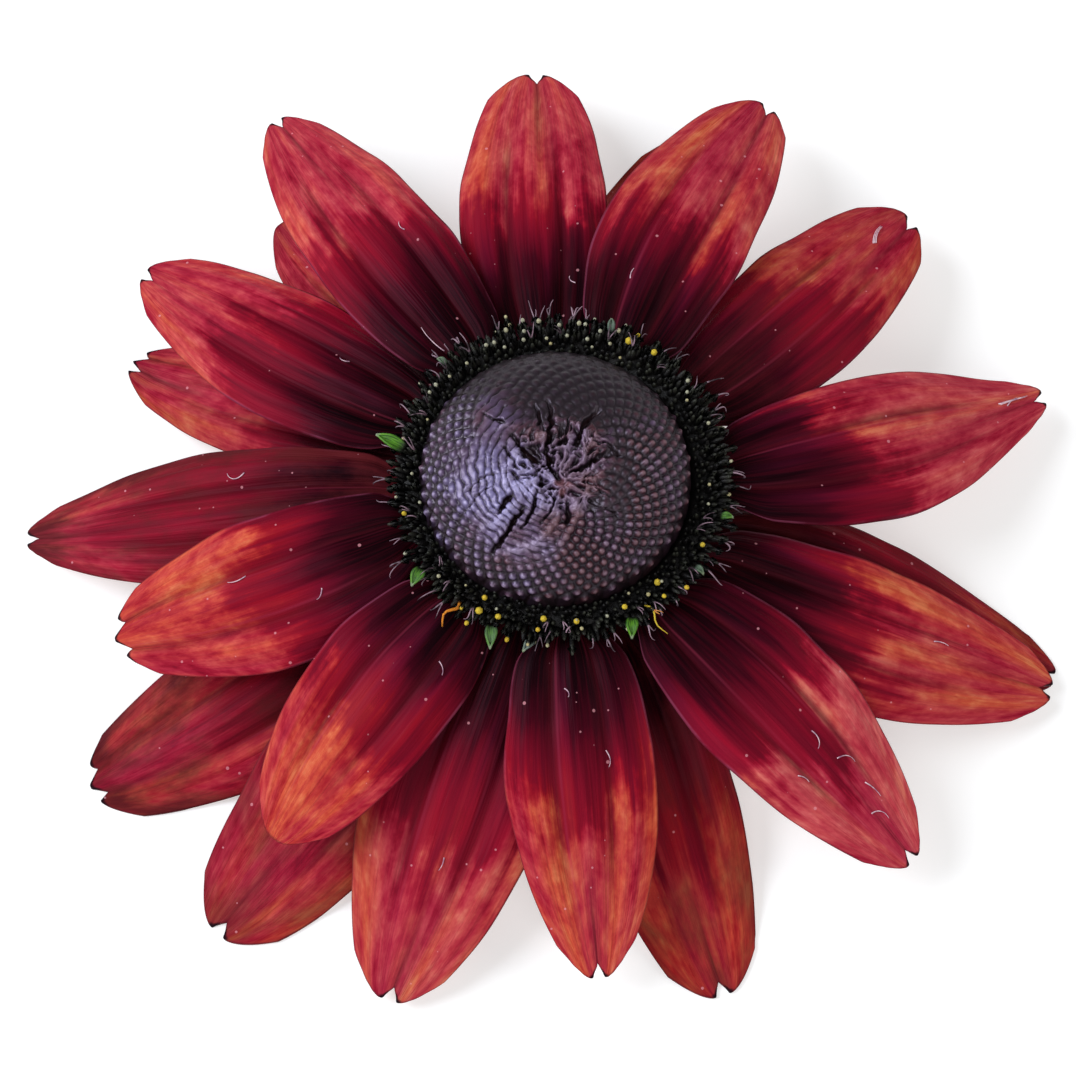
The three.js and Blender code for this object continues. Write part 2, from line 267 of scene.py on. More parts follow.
# ---- Involucre ----
# The green cup under the petals, with two rows of narrow leafy bracts that arch out and turn down.
# It grows as one with the stem. Its bracts are thin, keeled and fringed with white bristles.
CUP = [  # radius and height, from the stem out, up the side and over the rim
    (0.0, 5.75), (3.2, 5.78), (7.2, 5.9), (8.9, 6.3), (10.1, 7.6),
    (10.5, 9.0), (10.55, 11.0), (10.5, 12.35), (0.0, 12.35),
]
CUP_FOLD = 0.012
BRACTS = 26
LONG_BRACT = {"root": 6.7, "reach": (15.9, 16.9), "tip": (1.7, 3.0), "width": 3.9}
SHORT_BRACT = {"root": 7.9, "reach": (13.5, 14.5), "tip": (4.7, 5.4), "width": 3.4}
BRACT_THICKNESS = 0.34
BRACT_BRISTLES = 34
BRACT_BRISTLE_RADIUS = 0.03


def sum_of(tree, operation, first, second=0.0, third=0.0):
    """One arithmetic step between outputs or numbers."""
    return node(tree, "Math", {0: first, 1: second, 2: third}, operation=operation).outputs[0]


def times(tree, first, second):
    """The product of two outputs or numbers."""
    return sum_of(tree, "MULTIPLY", first, second)


def blade_place(tree):
    """A blade's own coordinates, and how far across and along it they are, 0 to 1."""
    where = node(tree, "UVMap", uv_map="blade").outputs[0]
    parts = node(tree, "SeparateXYZ", {0: where})
    return where, parts.outputs[0], parts.outputs[1]


def stretched(tree, where, width_count, length_count):
    """A blade's own coordinates with a pattern's number of waves across and along it."""
    return node(tree, "Mapping", {"Vector": where, "Scale": (width_count, length_count, 1.0)}).outputs[0]


def bezier(corners, share):
    """A point on a cubic curve from the first to the last of four corners, and its unit direction there."""
    a, b, c, d = corners
    rest = 1 - share
    point = a * rest ** 3 + b * (3 * rest * rest * share) + c * (3 * rest * share * share) + d * share ** 3
    slope = (b - a) * (3 * rest * rest) + (c - b) * (6 * rest * share) + (d - c) * (3 * share * share)
    return point, slope.normalized()


def bract_skin():
    """Leafy green, mottled, with a pale midrib and a brown tip."""
    material, tree, shader = finish("bract_skin", 0.6, 0.3, 0.15)
    where, across, along = blade_place(tree)
    fine = grain(tree, stretched(tree, where, 14.0, 2.0), 1.0, 4.0)
    blotches = grain(tree, place_in_mm(tree), 0.7)
    off_middle = sum_of(tree, "ABSOLUTE", sum_of(tree, "SUBTRACT", across, 0.5))
    green = mixed(tree, climb(tree, fine, 0.3, 0.7), tint(54, 84, 30), tint(98, 128, 56))
    mottled = mixed(tree, climb(tree, blotches, 0.5, 0.75), green, tint(70, 74, 36))
    ribbed = mixed(tree, climb(tree, off_middle, 0.07, 0.02), mottled, tint(132, 154, 88))
    tipped = mixed(tree, climb(tree, along, 0.8, 1.0), ribbed, tint(88, 58, 44))
    tree.links.new(tipped, shader.inputs["Base Color"])
    bumped(tree, shader, fine, 0.12, 0.7)
    return material


def cup_point(turn, share):
    """Up the cup's outer side and over its rim, with a shallow fold under each bract."""
    at = share * (len(CUP) - 1)
    step = min(int(at), len(CUP) - 2)
    (reach, height), (next_reach, next_height) = CUP[step], CUP[step + 1]
    part = at - step
    reach += (next_reach - reach) * part
    height += (next_height - height) * part
    reach *= 1 + CUP_FOLD * math.cos(BRACTS * turn)
    return round_axis(reach, turn, height)


def thickened(piece, millimetres):
    """Gives a drawn surface its thickness, half of it to each side."""
    blade = piece.modifiers.new("blade", "SOLIDIFY")
    blade.thickness = millimetres / 1000
    blade.offset = 0.0
    return blade


def bract(bm, bristles, azimuth, kind, draw):
    """One keeled bract on its curve, and the bristles along its two edges."""
    reach, tip = draw.uniform(*kind["reach"]), draw.uniform(*kind["tip"])
    root = kind["root"]
    corners = [
        Vector((8.4, root)),
        Vector((12.2, root + 0.2)),
        Vector((reach - 0.4, (2 * root + tip) / 3)),
        Vector((reach, tip)),
    ]
    twist = draw.uniform(-0.12, 0.12)
    spin = Matrix.Rotation(azimuth, 4, "Z")

    def point(side, share):
        at, slope = bezier(corners, share)
        half = (0.3 + kind["width"] * min(1, 0.7 + share) * (1 - share ** 1.7)) / 2
        up = 0.35 * (1 - abs(side)) * (1 - share) - 0.25 * side * side + side * twist * share * half
        up += 0.08 * noise.noise(Vector((side * 1.5, share * 5, azimuth * 7)))
        return spin @ Vector((at.x - slope.y * up, side * half, at.y + slope.x * up))

    blade = bmesh.ops.create_grid(bm, x_segments=8, y_segments=20, size=0.5, calc_uvs=True)["verts"]
    for corner in blade:
        corner.co = point(-2 * corner.co.x, corner.co.y + 0.5)
    for i in range(BRACT_BRISTLES):
        side, share = (-1, 1)[i % 2], 0.3 + 0.68 * i / BRACT_BRISTLES
        foot = point(side * 0.97, share)
        away = (foot - point(0, share)).normalized() + Vector((0, 0, draw.uniform(-0.5, 0.3)))
        away += spin @ Vector((0.5, 0, 0))
        bristle(bristles, foot, away, draw.uniform(0.35, 0.75), BRACT_BRISTLE_RADIUS)


draw = random.Random(11)
bm = bmesh.new()
bm.loops.layers.uv.new("blade")
fringe = bmesh.new()
for i in range(BRACTS):
    bract(bm, fringe, TURN * i / BRACTS + draw.uniform(-0.015, 0.015), (LONG_BRACT, SHORT_BRACT)[i % 2], draw)
bracts = placed(bm, "bracts", [bract_skin()])
thickened(bracts, BRACT_THICKNESS)
bristles = placed(fringe, "bract_bristles", [bpy.data.materials["bristle_skin"]])
bm = bmesh.new()
rolled(bm, 208, 40, cup_point)
cup = placed(bm, "cup", [bpy.data.materials["stem_skin"]])
for piece in (cup, bracts, bristles):
    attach(piece, "root")
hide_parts("involucre")


# ---- Ray petals ----
# Twenty strap-shaped petals in three overlapping whorls. Each is a thin living blade with three lengthwise
# lobes, creased between them, fine veins and a notched tip, near black at its claw and coral outwards.
WHORLS = {"low": (9.3, -4, 4), "middle": (10.5, 0, 20), "high": (11.7, 4, 22)}  # claw height, rise, drop
PETAL_THICKNESS = 0.3
PETAL_ROWS = 100
PETAL_COLUMNS = 56
ROW_CROWDING = 1.25
CLAW_WIDTH = 3.6
CLAW_RADIUS = 10.9
HANDLE_SHARE = 0.36
TIP_SHARE = 0.26
TIP_ROUNDING = 2.6
NOTCH_DEPTH = 1.1
NOTCH_REACH = 0.48
TOOTH_AT = 0.27  # how far from a notch its two teeth stand
TOOTH_LENGTH = 0.10
TOOTH_WIDTH = 0.08
EDGE_DROP = 0.42
EDGE_RIPPLE = 0.05
LOBE_HEIGHT = 0.42
CREASE_AT = 0.36
CREASE_DEPTH = 0.22
CREST_AT = 0.27
CREST_HEIGHT = 0.08
VEINS = 5.5  # in each half
VEIN_HEIGHT = 0.03
WAVE_HEIGHT = 0.24
PUCKER_HEIGHT = 0.10
FRILL_HEIGHT = 0.5

# Shape: root and tip azimuths, the tip's reach and height, whorl, width, taper, sway, roll, tip's notches.
# Ripeness: where coral starts on the side lobes, how much later it comes on the middle lobe, how much
# earlier on the anticlockwise lobe, how full it gets, rose 0 to orange 1, how dull: a dull brown that is
# partly the petal's own tone and partly painted shade, on the petals that lie under others.
PETALS = [
    (95, 93.0, 39.3, 4.0, "middle", 12.0, -0.12, 0.5, 0, (-0.10,), 0.52, 0.06, 0.00, 0.93, 0.40, 0.00),
    (76, 73.0, 36.8, -0.1, "low", 10.5, 0.0, 0.0, 0, (0.0,), 0.50, 0.04, 0.00, 0.70, 0.60, 0.25),
    (65, 65.0, 39.8, 5.0, "high", 11.6, 0.0, 0.8, 0, (-0.32,), 0.49, 0.05, -0.04, 0.84, 0.40, 0.05),
    (35.5, 42.6, 38.8, 4.0, "middle", 11.3, -0.1, -0.7, 0, (-0.25,), 0.60, 0.04, 0.08, 0.65, 0.45, 0.20),
    (3, 15.7, 40.6, 2.5, "high", 12.2, 0.7, -1.45, 0, (-0.05,), 0.45, 0.04, 0.10, 0.95, 0.22, 0.00),
    (-18, -17.0, 41.0, -0.1, "low", 10.0, 0.1, 0.6, 0, (0.0,), 0.75, 0.05, 0.00, 0.50, 0.30, 0.45),
    (-30, -19.2, 41.0, 1.2, "middle", 12.0, 0.1, -1.5, 0, (0.05,), 0.52, 0.02, 0.05, 0.85, 0.45, 0.05),
    (-53, -46.0, 38.9, 4.0, "high", 11.8, 0.2, 0.5, 3, (0.05,), 0.56, 0.16, 0.06, 1.00, 0.15, 0.00),
    (-71, -71.5, 39.6, -0.1, "low", 11.5, -0.1, 0.0, 0, (0.0,), 0.58, 0.10, 0.00, 0.65, 0.80, 0.45),
    (-87, -85.4, 37.1, 3.6, "high", 11.5, 0.2, 0.0, -4, (0.0,), 0.52, 0.15, 0.00, 0.94, 0.60, 0.00),
    (-106, -109.0, 40.3, 1.0, "middle", 14.0, 0.1, 0.0, 0, (0.05,), 0.60, 0.12, 0.00, 0.75, 0.30, 0.10),
    (-128, -128.8, 34.6, 7.0, "high", 11.3, 0.0, -0.4, -5, (), 0.61, 0.02, -0.04, 0.62, 0.60, 0.00),
    (-117, -129.0, 42.0, -0.1, "low", 13.2, -0.1, -0.4, -12, (0.0,), 0.60, 0.08, 0.00, 0.75, 0.60, 0.40),
    (-143, -150.0, 42.3, -0.1, "low", 12.4, -0.1, 0.6, -15, (-0.45, 0.25), 0.58, 0.10, 0.0, 0.56, 0.50, 0.84),
    (-161, -162.6, 36.1, 6.0, "high", 12.0, 0.0, 1.2, -12, (-0.42, 0.38), 0.57, 0.03, 0.02, 0.64, 0.58, 0.00),
    (-176, -179.3, 42.5, 0.8, "middle", 11.0, 0.3, 0.3, 0, (0.05,), 0.73, 0.10, 0.04, 0.42, 0.30, 0.84),
    (161, 156.8, 38.0, -0.1, "low", 9.5, 0.0, 0.0, 0, (-0.45, 0.15), 0.52, 0.08, 0.00, 0.80, 0.40, 0.20),
    (150, 147.4, 39.9, 3.5, "middle", 10.9, 0.05, 1.0, 0, (0.10,), 0.62, 0.06, -0.06, 0.72, 0.35, 0.00),
    (131, 130.0, 35.8, -0.1, "low", 8.8, 0.0, 0.0, 0, (), 0.50, 0.04, 0.00, 0.75, 0.35, 0.15),
    (122, 123.8, 41.8, 4.5, "high", 10.9, 0.15, 0.5, 0, (-0.05,), 0.54, 0.04, -0.04, 0.74, 0.25, 0.00),
]
CRIMSON = [(0.0, tint(7, 1, 3)), (0.14, tint(22, 2, 7)), (0.28, tint(56, 4, 18)), (0.40, tint(106, 9, 30))]
ROSE = [(0.50, tint(138, 14, 38)), (0.60, tint(156, 30, 52)), (0.71, tint(172, 50, 64)),
        (0.84, tint(190, 74, 80)), (1.0, tint(208, 108, 104))]
AMBER = [(0.50, tint(138, 15, 28)), (0.60, tint(158, 34, 34)), (0.71, tint(176, 54, 44)),
         (0.84, tint(194, 80, 54)), (1.0, tint(212, 116, 76))]


def mark(tree, name):
    """A value that the mesh carries for its material."""
    return node(tree, "Attribute", attribute_name=name).outputs["Fac"]


def ramped(tree, value, stops):
    """The colour of a band of stops, each a place from 0 to 1 and a colour, at value."""
    made = node(tree, "ValToRGB", {0: value})
    band = made.color_ramp.elements
    band[0].position, band[0].color = stops[0]
    band[1].position, band[1].color = stops[-1]
    for place, colour in stops[1:-1]:
        band.new(place).color = colour
    return made.outputs[0]


def petal_face(name, seed, start, lag, lean, fullness, orange, dull):
    """The upper skin: one ripeness value takes it from near black through crimson to rose or amber coral."""
    material, tree, shader = finish(name, 0.46, 0.06)
    shader.inputs["Specular Tint"].default_value = (1.0, 0.42, 0.58, 1)
    where, across, along = blade_place(tree)

    def drawn(width_count, length_count, depth):
        scale = (width_count, length_count, 1.0)
        feeds = {"Vector": where, "Location": (seed * 3.7, seed * 1.9, seed * 5.3 + depth), "Scale": scale}
        return node(tree, "Mapping", feeds).outputs[0]

    def about(noise_value, amount, base):
        """Adds noise to a value: amount times how far the noise lies from its middle."""
        return sum_of(tree, "MULTIPLY_ADD", sum_of(tree, "SUBTRACT", noise_value, 0.5), amount, base)

    def over(mask, amount, below, colour):
        return mixed(tree, times(tree, mask, amount), below, colour)

    broad = grain(tree, drawn(4.5, 1.0, 0.0), 1.0, 2.0, 0.5)
    streaks = grain(tree, drawn(15.0, 1.5, 1.0), 1.0, 4.0, 0.6)
    fibres = grain(tree, drawn(58.0, 4.0, 2.0), 1.0, 1.0, 0.5)
    patches = grain(tree, drawn(3.8, 5.2, 4.0), 1.0, 5.0, 0.60)
    mottles = grain(tree, drawn(15.0, 17.0, 6.0), 1.0, 3.0, 0.6)
    side = sum_of(tree, "SUBTRACT", 0.5, across)
    off_middle = sum_of(tree, "ABSOLUTE", times(tree, side, 2.0))
    middle_lobe = climb(tree, about(streaks, 0.25, off_middle), 0.46, 0.24)
    late = sum_of(tree, "MULTIPLY_ADD", middle_lobe, lag, start)
    late = sum_of(tree, "MULTIPLY_ADD", side, -2 * lean, late)
    front = about(streaks, 0.42, about(patches, 0.52, sum_of(tree, "SUBTRACT", along, late)))
    lift = climb(tree, front, -0.10, 0.08)

    value = sum_of(tree, "MULTIPLY_ADD", climb(tree, along, 0.0, 0.56), 0.46, 0.005)
    value = about(broad, 0.44, about(streaks, 0.34, value))
    value = sum_of(tree, "MULTIPLY_ADD", lift, 0.11 + 0.20 * fullness, value)
    ripe_noise = about(patches, 0.74, about(mottles, 0.62, 0.0))
    value = sum_of(tree, "MULTIPLY_ADD", ripe_noise, lift, value)
    margin = times(tree, climb(tree, off_middle, 0.45, 0.9), climb(tree, along, 0.55, 0.3))
    value = sum_of(tree, "MULTIPLY_ADD", margin, 0.10, value)
    warm = climb(tree, about(broad, 1.7, about(patches, 0.8, orange)), 0.1, 0.9)
    colour = mixed(tree, warm, ramped(tree, value, CRIMSON + ROSE), ramped(tree, value, CRIMSON + AMBER))

    colour = over(times(tree, middle_lobe, lift), min(0.8, 2.4 * lag), colour, tint(158, 36, 66))
    unripe = sum_of(tree, "SUBTRACT", 1.0, lift)
    # Painted sheen: a purple tint on broad patches of the dark, unripe part of the blade.
    painted_sheen = times(tree, times(tree, climb(tree, broad, 0.53, 0.68), unripe), climb(tree, along, 0.05, 0.3))
    colour = over(painted_sheen, 0.26, colour, tint(92, 20, 50))
    colour = over(climb(tree, fibres, 0.42, 0.66), 0.14, colour, tint(96, 10, 30))
    # Painted shade: the creases are darkened, more where the streaks run.
    crease = mark(tree, "crease")
    colour = over(times(tree, crease, climb(tree, streaks, 0.3, 0.6)), 0.70, colour, tint(68, 12, 22))
    # Painted highlight: a lilac-crimson line along each fold's crest, beside its crease.
    crest = climb(tree, sum_of(tree, "ABSOLUTE", sum_of(tree, "SUBTRACT", off_middle, CREST_AT)), 0.030, 0.0)
    crest = times(tree, crest, climb(tree, broad, 0.46, 0.60))
    colour = over(crest, 0.20, colour, tint(162, 54, 80))
    edge = times(tree, climb(tree, off_middle, 0.955, 0.985), climb(tree, patches, 0.35, 0.6))
    colour = over(times(tree, edge, unripe), 0.40, colour, tint(160, 84, 116))
    rim = sum_of(tree, "MAXIMUM", climb(tree, off_middle, 0.972, 0.998), climb(tree, along, 0.990, 0.999))
    colour = over(rim, 0.62, colour, tint(84, 20, 34))
    # Painted shade with a dull brown tone: patchy, heavier towards the sides and the tip, on petals that lie
    # under others.
    if dull:
        shade = sum_of(tree, "MAXIMUM", climb(tree, off_middle, 0.70, 1.0), climb(tree, along, 0.88, 1.0))
        shade = about(patches, 2.4, sum_of(tree, "MULTIPLY_ADD", shade, 0.30, 0.42))
        colour = over(climb(tree, shade, 0.0, 1.0), min(1.0, 1.6 * dull), colour, tint(84, 24, 28))
    tooth = mark(tree, "tooth")
    colour = mixed(tree, climb(tree, tooth, 0.45, 1.0), colour, tint(26, 12, 18))
    cells = node(tree, "TexVoronoi", {"Vector": place_in_mm(tree), "Scale": 0.95, "Randomness": 1.0})
    size = node(tree, "SeparateColor", {0: cells.outputs["Color"]}).outputs[0]
    reach = sum_of(tree, "MULTIPLY_ADD", size, 0.26, -0.12)
    speck = climb(tree, sum_of(tree, "SUBTRACT", reach, cells.outputs["Distance"]), 0.0, 0.03)
    colour = over(speck, 0.50, colour, tint(222, 150, 160))
    tree.links.new(colour, shader.inputs["Base Color"])
    bumped(tree, shader, sum_of(tree, "MULTIPLY_ADD", streaks, 2.0, fibres), 0.07, 0.8)
    return material


def petal_back():
    """The underside: paler and duller, with its veins standing out."""
    material, tree, shader = finish("petal_back", 0.6, 0.25, 0.1)
    where, _, along = blade_place(tree)
    ribs = grain(tree, stretched(tree, where, 22.0, 1.6), 1.0, 4.0)
    patches = grain(tree, place_in_mm(tree), 0.35, 4.0)
    ground = mixed(tree, climb(tree, along, 0.1, 0.7), tint(104, 40, 38), tint(166, 80, 62))
    ground = mixed(tree, climb(tree, patches, 0.4, 0.7), ground, tint(138, 48, 50))
    ground = mixed(tree, climb(tree, ribs, 0.5, 0.68), ground, tint(190, 122, 96))
    tree.links.new(ground, shader.inputs["Base Color"])
    bumped(tree, shader, ribs, 0.15, 0.8)
    return material


def half_width(width, taper, share):
    """Half the blade's width at a share of its length, 0 at the claw and 1 at the tip."""
    ends = (CLAW_WIDTH * (1 - share) + TIP_SHARE * width * share) / 2
    belly = max(0.0, math.sin(math.pi * share ** 0.86)) ** (0.62 + taper * share)
    return ends + (width / 2 - ends) * belly * smooth(share, -0.06, 0.12)


def polar(radius, degrees):
    """A point on the flat, at a distance and an azimuth."""
    return Vector((radius * math.cos(math.radians(degrees)), radius * math.sin(math.radians(degrees))))


def hump(value, middle, width):
    """A smooth bump of height 1 over middle."""
    return math.exp(-(((value - middle) / width) ** 2))


def tip_setback(side, notches):
    """How far the tip's edge stands back from its foremost point, in millimetres."""
    back = TIP_ROUNDING * abs(side) ** 4
    for at in notches:
        away = abs(side - at)
        back += NOTCH_DEPTH * max(0.0, 1 - away / NOTCH_REACH) ** 2
        back -= TOOTH_LENGTH * hump(away, TOOTH_AT, TOOTH_WIDTH)
    return back


def crease_share(side, share, notches):
    """How deep in a crease a place is, 0 to 1: between the lobes, and towards the tip below each notch."""
    between = hump(abs(side), CREASE_AT, 0.07) * (1 - smooth(share, 0.62, 0.88))
    below = [hump(side, at, 0.08) * smooth(share, 0.60, 0.92) for at in notches]
    return max([between] + below)


def petal_surface(seed, root, tip, reach, height, whorl, width, taper, sway, roll, notches):
    """A petal's length, and the point on it at side -1 to 1, at share 0 to 1 of its length and above it."""
    claw, rise, drop = WHORLS[whorl]
    end = polar(reach, tip)
    heading = end - polar(CLAW_RADIUS, root)
    slant = math.atan2(heading.y, heading.x) - math.radians(root)
    start = polar(CLAW_RADIUS + CLAW_WIDTH / 2 * abs(math.sin(slant)), root)
    length = (end - start).length
    ahead = (end - start).normalized()
    handle = HANDLE_SHARE * length
    rise, drop = math.radians(rise), math.radians(drop)
    corners = [
        Vector((0, claw)),
        Vector((handle * math.cos(rise), claw + handle * math.sin(rise))),
        Vector((length - handle * math.cos(drop), height + handle * math.sin(drop))),
        Vector((length, height)),
    ]
    folds = [1.05 + 0.45 * noise.noise(Vector((seed * 2.3, fold * 4.1, 0.5))) for fold in (-1, 1)]

    def point(side, share, above=0.0):
        at, slope = bezier(corners, share)
        lean = math.radians(roll) * smooth(share, -0.03, 0.07) * (1 - smooth(share, 0.65, 1))
        swell = math.sin(math.pi * share ** 0.7) ** 0.6 if 0 < share < 1 else 0.0
        ripple = noise.noise(Vector((share * 5.5, seed * 5.1 + 2.0 * smooth(side, -0.5, 0.5), 0.5)))
        across = side * half_width(width, taper, share) * (1 + EDGE_RIPPLE * swell * abs(side) * ripple)
        lobes = LOBE_HEIGHT * (1 + math.cos(3 * math.pi * side)) / 2 * (1 - 0.7 * smooth(share, 0.6, 0.9))
        lobes -= EDGE_DROP * side * side
        crease = CREST_HEIGHT * hump(abs(side), CREST_AT, 0.06) * (1 - smooth(share, 0.62, 0.88))
        crease -= CREASE_DEPTH * crease_share(side, share, notches)
        warp = noise.noise(Vector((side * 1.2, share * 2.5, seed * 3.1)))
        veins = VEIN_HEIGHT * math.cos(TURN * (VEINS * side + 0.35 * warp))
        wave = WAVE_HEIGHT * noise.noise(Vector((side * 1.1, share * 4.0, seed * 7.7)))
        pucker = PUCKER_HEIGHT * noise.noise(Vector((side * 3.2, share * 11.0, seed * 4.9)))
        frill = FRILL_HEIGHT * abs(side) ** 4 * noise.noise(Vector((side * 0.4, share * 7.0, seed * 1.3)))
        up = swell * (lobes + folds[side > 0] * crease + veins + wave + pucker + frill)
        up += across * math.sin(lean) + above
        sideways = sway * math.sin(math.pi * share ** 0.8) + across * math.cos(lean)
        outward = at.x - slope.y * up
        flat = start + ahead * outward + Vector((-ahead.y, ahead.x)) * sideways
        return Vector((flat.x, flat.y, max(at.y + slope.x * up, PETAL_THICKNESS / 2)))

    return length, point


def petal_blade(length, point, notches):
    """The blade as a grid with its rows crowded towards the tip, before it gets its thickness."""
    bm = bmesh.new()
    blade_map = bm.loops.layers.uv.new("blade")
    tooth = bm.verts.layers.float.new("tooth")
    crease = bm.verts.layers.float.new("crease")
    bmesh.ops.create_grid(bm, x_segments=PETAL_COLUMNS, y_segments=PETAL_ROWS, size=0.5, calc_uvs=True)
    for face in bm.faces:
        for loop in face.loops:
            along = loop[blade_map].uv.y
            loop[blade_map].uv.y = 1 - max(0.0, 1 - along) ** ROW_CROWDING
    for corner in bm.verts:
        side, along = -2 * corner.co.x, 1 - max(0.0, 0.5 - corner.co.y) ** ROW_CROWDING
        share = along * (1 - tip_setback(side, notches) / length)
        near = min([abs(abs(side - at) - TOOTH_AT) for at in notches], default=1.0)
        corner[tooth] = 1 - smooth(math.hypot(near * 1.6, (1 - along) * length), 0.10, 0.55)
        corner[crease] = crease_share(side, share, notches)
        corner.co = point(side, share)
    return bm


def strand(bm, points, radius, layer=None, value=0.0, sides=5):
    """A thin tapering thread along points, marked with a value for its material."""
    frames = []
    for i, point in enumerate(points):
        ahead = (points[min(i + 1, len(points) - 1)] - points[max(i - 1, 0)]).normalized()
        last = frames[-1][1] if frames else ahead.orthogonal()
        side = (last - ahead * last.dot(ahead)).normalized()
        frames.append((point, side, ahead.cross(side)))

    def skin(turn, share):
        i = min(max(int(share * (len(points) + 1) + 0.5) - 1, 0), len(points) - 1)
        size = 0.0 if share < 1e-6 or share > 1 - 1e-6 else radius * (1 - 0.6 * i / (len(points) - 1))
        point, side, up = frames[i]
        return point + side * size * math.cos(turn) + up * size * math.sin(turn)

    already = len(bm.verts)
    rolled(bm, sides, len(points) + 1, skin)
    if layer is not None:
        bm.verts.ensure_lookup_table()
        for corner in bm.verts[already:]:
            corner[layer] = value


under_skin = petal_back()
surfaces = {}
for number, row in enumerate(PETALS, 1):
    shape, notches, ripeness = row[:10], row[9], row[10:]
    label = f"petal_{number:02d}"
    length, point = petal_surface(number, *shape)
    surfaces[number] = length, point
    bm = petal_blade(length, point, notches)
    petal = placed(bm, label + "_blade", [petal_face(label + "_face", number, *ripeness), under_skin])
    thickened(petal, PETAL_THICKNESS).material_offset = 1
    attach(petal, "root")
    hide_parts(label)


# ---- Shed hairs ----
# Dry styles and hairs that have dropped from the florets and lie on the petals: pale, thin as thread, and
# curled as they dried.
SHED_RADIUS = 0.055
SHED_STEPS = 10
SHED_HALF_WIDTH = 5.0  # of a petal, about, in millimetres
SHED = [  # petal, side, share of its length, heading across 0 to along 1, length, curl in turns
    (8, 0.10, 0.56, 0.9, 1.5, 0.30), (8, 0.12, 0.66, 0.2, 1.7, 0.28), (8, 0.25, 0.76, 0.7, 1.6, 0.10),
    (8, -0.02, 0.83, 0.1, 1.8, 0.32), (8, -0.45, 0.62, 0.6, 1.0, 0.20), (5, 0.20, 0.86, 0.9, 2.6, 0.03),
    (5, 0.10, 0.88, 0.4, 1.4, 0.12), (4, 0.05, 0.84, 0.5, 2.0, 0.14), (20, 0.35, 0.10, 0.9, 2.6, 0.08),
    (20, -0.45, 0.45, 0.7, 0.9, 0.25), (16, -0.60, 0.42, 0.5, 1.7, 0.40), (15, -0.30, 0.55, 0.8, 1.5, 0.15),
    (15, 0.20, 0.34, 0.3, 0.9, 0.20), (1, -0.55, 0.22, 0.3, 0.9, 0.25), (3, 0.30, 0.24, 0.8, 0.9, 0.15),
    (10, 0.35, 0.38, 0.7, 1.3, 0.20), (10, -0.15, 0.20, 0.4, 0.8, 0.30), (12, 0.40, 0.24, 0.2, 1.2, 0.20),
    (18, -0.35, 0.30, 0.5, 0.9, 0.30), (7, 0.25, 0.66, 0.8, 1.2, 0.15), (11, 0.10, 0.62, 0.9, 1.0, 0.10),
    (5, 0.215, 0.857, 0.92, 2.5, 0.03), (5, 0.185, 0.862, 0.90, 2.3, 0.04),
    (4, 0.035, 0.844, 0.50, 1.9, 0.13), (4, 0.065, 0.836, 0.50, 2.1, 0.14),
]


def shed_skin():
    """Dry thread, between dull purple and pale pink."""
    material, tree, shader = finish("shed_skin", 0.5, 0.4)
    shade = grain(tree, place_in_mm(tree), 1.6)
    tree.links.new(mixed(tree, climb(tree, shade, 0.35, 0.62), tint(150, 104, 132), tint(222, 190, 200)),
                   shader.inputs["Base Color"])
    return material


bm = bmesh.new()
for number, side, share, heading, long, curl in SHED:
    length, point = surfaces[number]
    angle = math.pi / 2 * heading
    turn_rate, step = TURN * curl / SHED_STEPS, long / SHED_STEPS
    points = []
    for i in range(SHED_STEPS + 1):
        points.append(point(side, share, PETAL_THICKNESS / 2 + SHED_RADIUS * (0.8 + 0.25 * i)))
        side += step * math.cos(angle) / SHED_HALF_WIDTH
        share += step * math.sin(angle) / length
        angle += turn_rate * (0.4 + 0.12 * i)
    strand(bm, points, SHED_RADIUS)
shed = placed(bm, "shed_hairs", [shed_skin()])
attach(shed, "root")


# ---- Disc ----
# A hard dome of hundreds of closed florets in spirals. Round the edge each one is a separate waxy knob.
# Towards the pole they are pressed into strips and wrinkles, with open cracks round a reddish heart.
DOME_RADIUS = 10.4
DOME_HEIGHT = 5.6
DOME_FOOT = 12.7
DOME_LEAN = 2.0
RIM_SHIFT = 0.35  # the rim stands this far to the left of the axis
DIMPLE_DEPTH = 0.9
DOME_SIDES = 252
BUDS = 640
GOLDEN_ANGLE = math.pi * (3 - math.sqrt(5))
BUD_HEIGHT = 0.40
BUD_REACH = 0.36
STRIP_PITCH = 0.56
STRIP_HEIGHT = 0.24
WRINKLE_HEIGHT = 0.40
SPOKE_HEIGHT = 0.15
SPOKES = 19
LIP_HEIGHT = 0.1  # of the lips that a crack raises, and their reach in half widths of it
LIP_REACH = 2.2
DEEPEST = 0.75
HEART = [((0.00, -0.02), 0.035), ((0.065, -0.035), 0.03), ((0.02, -0.09), 0.02)]

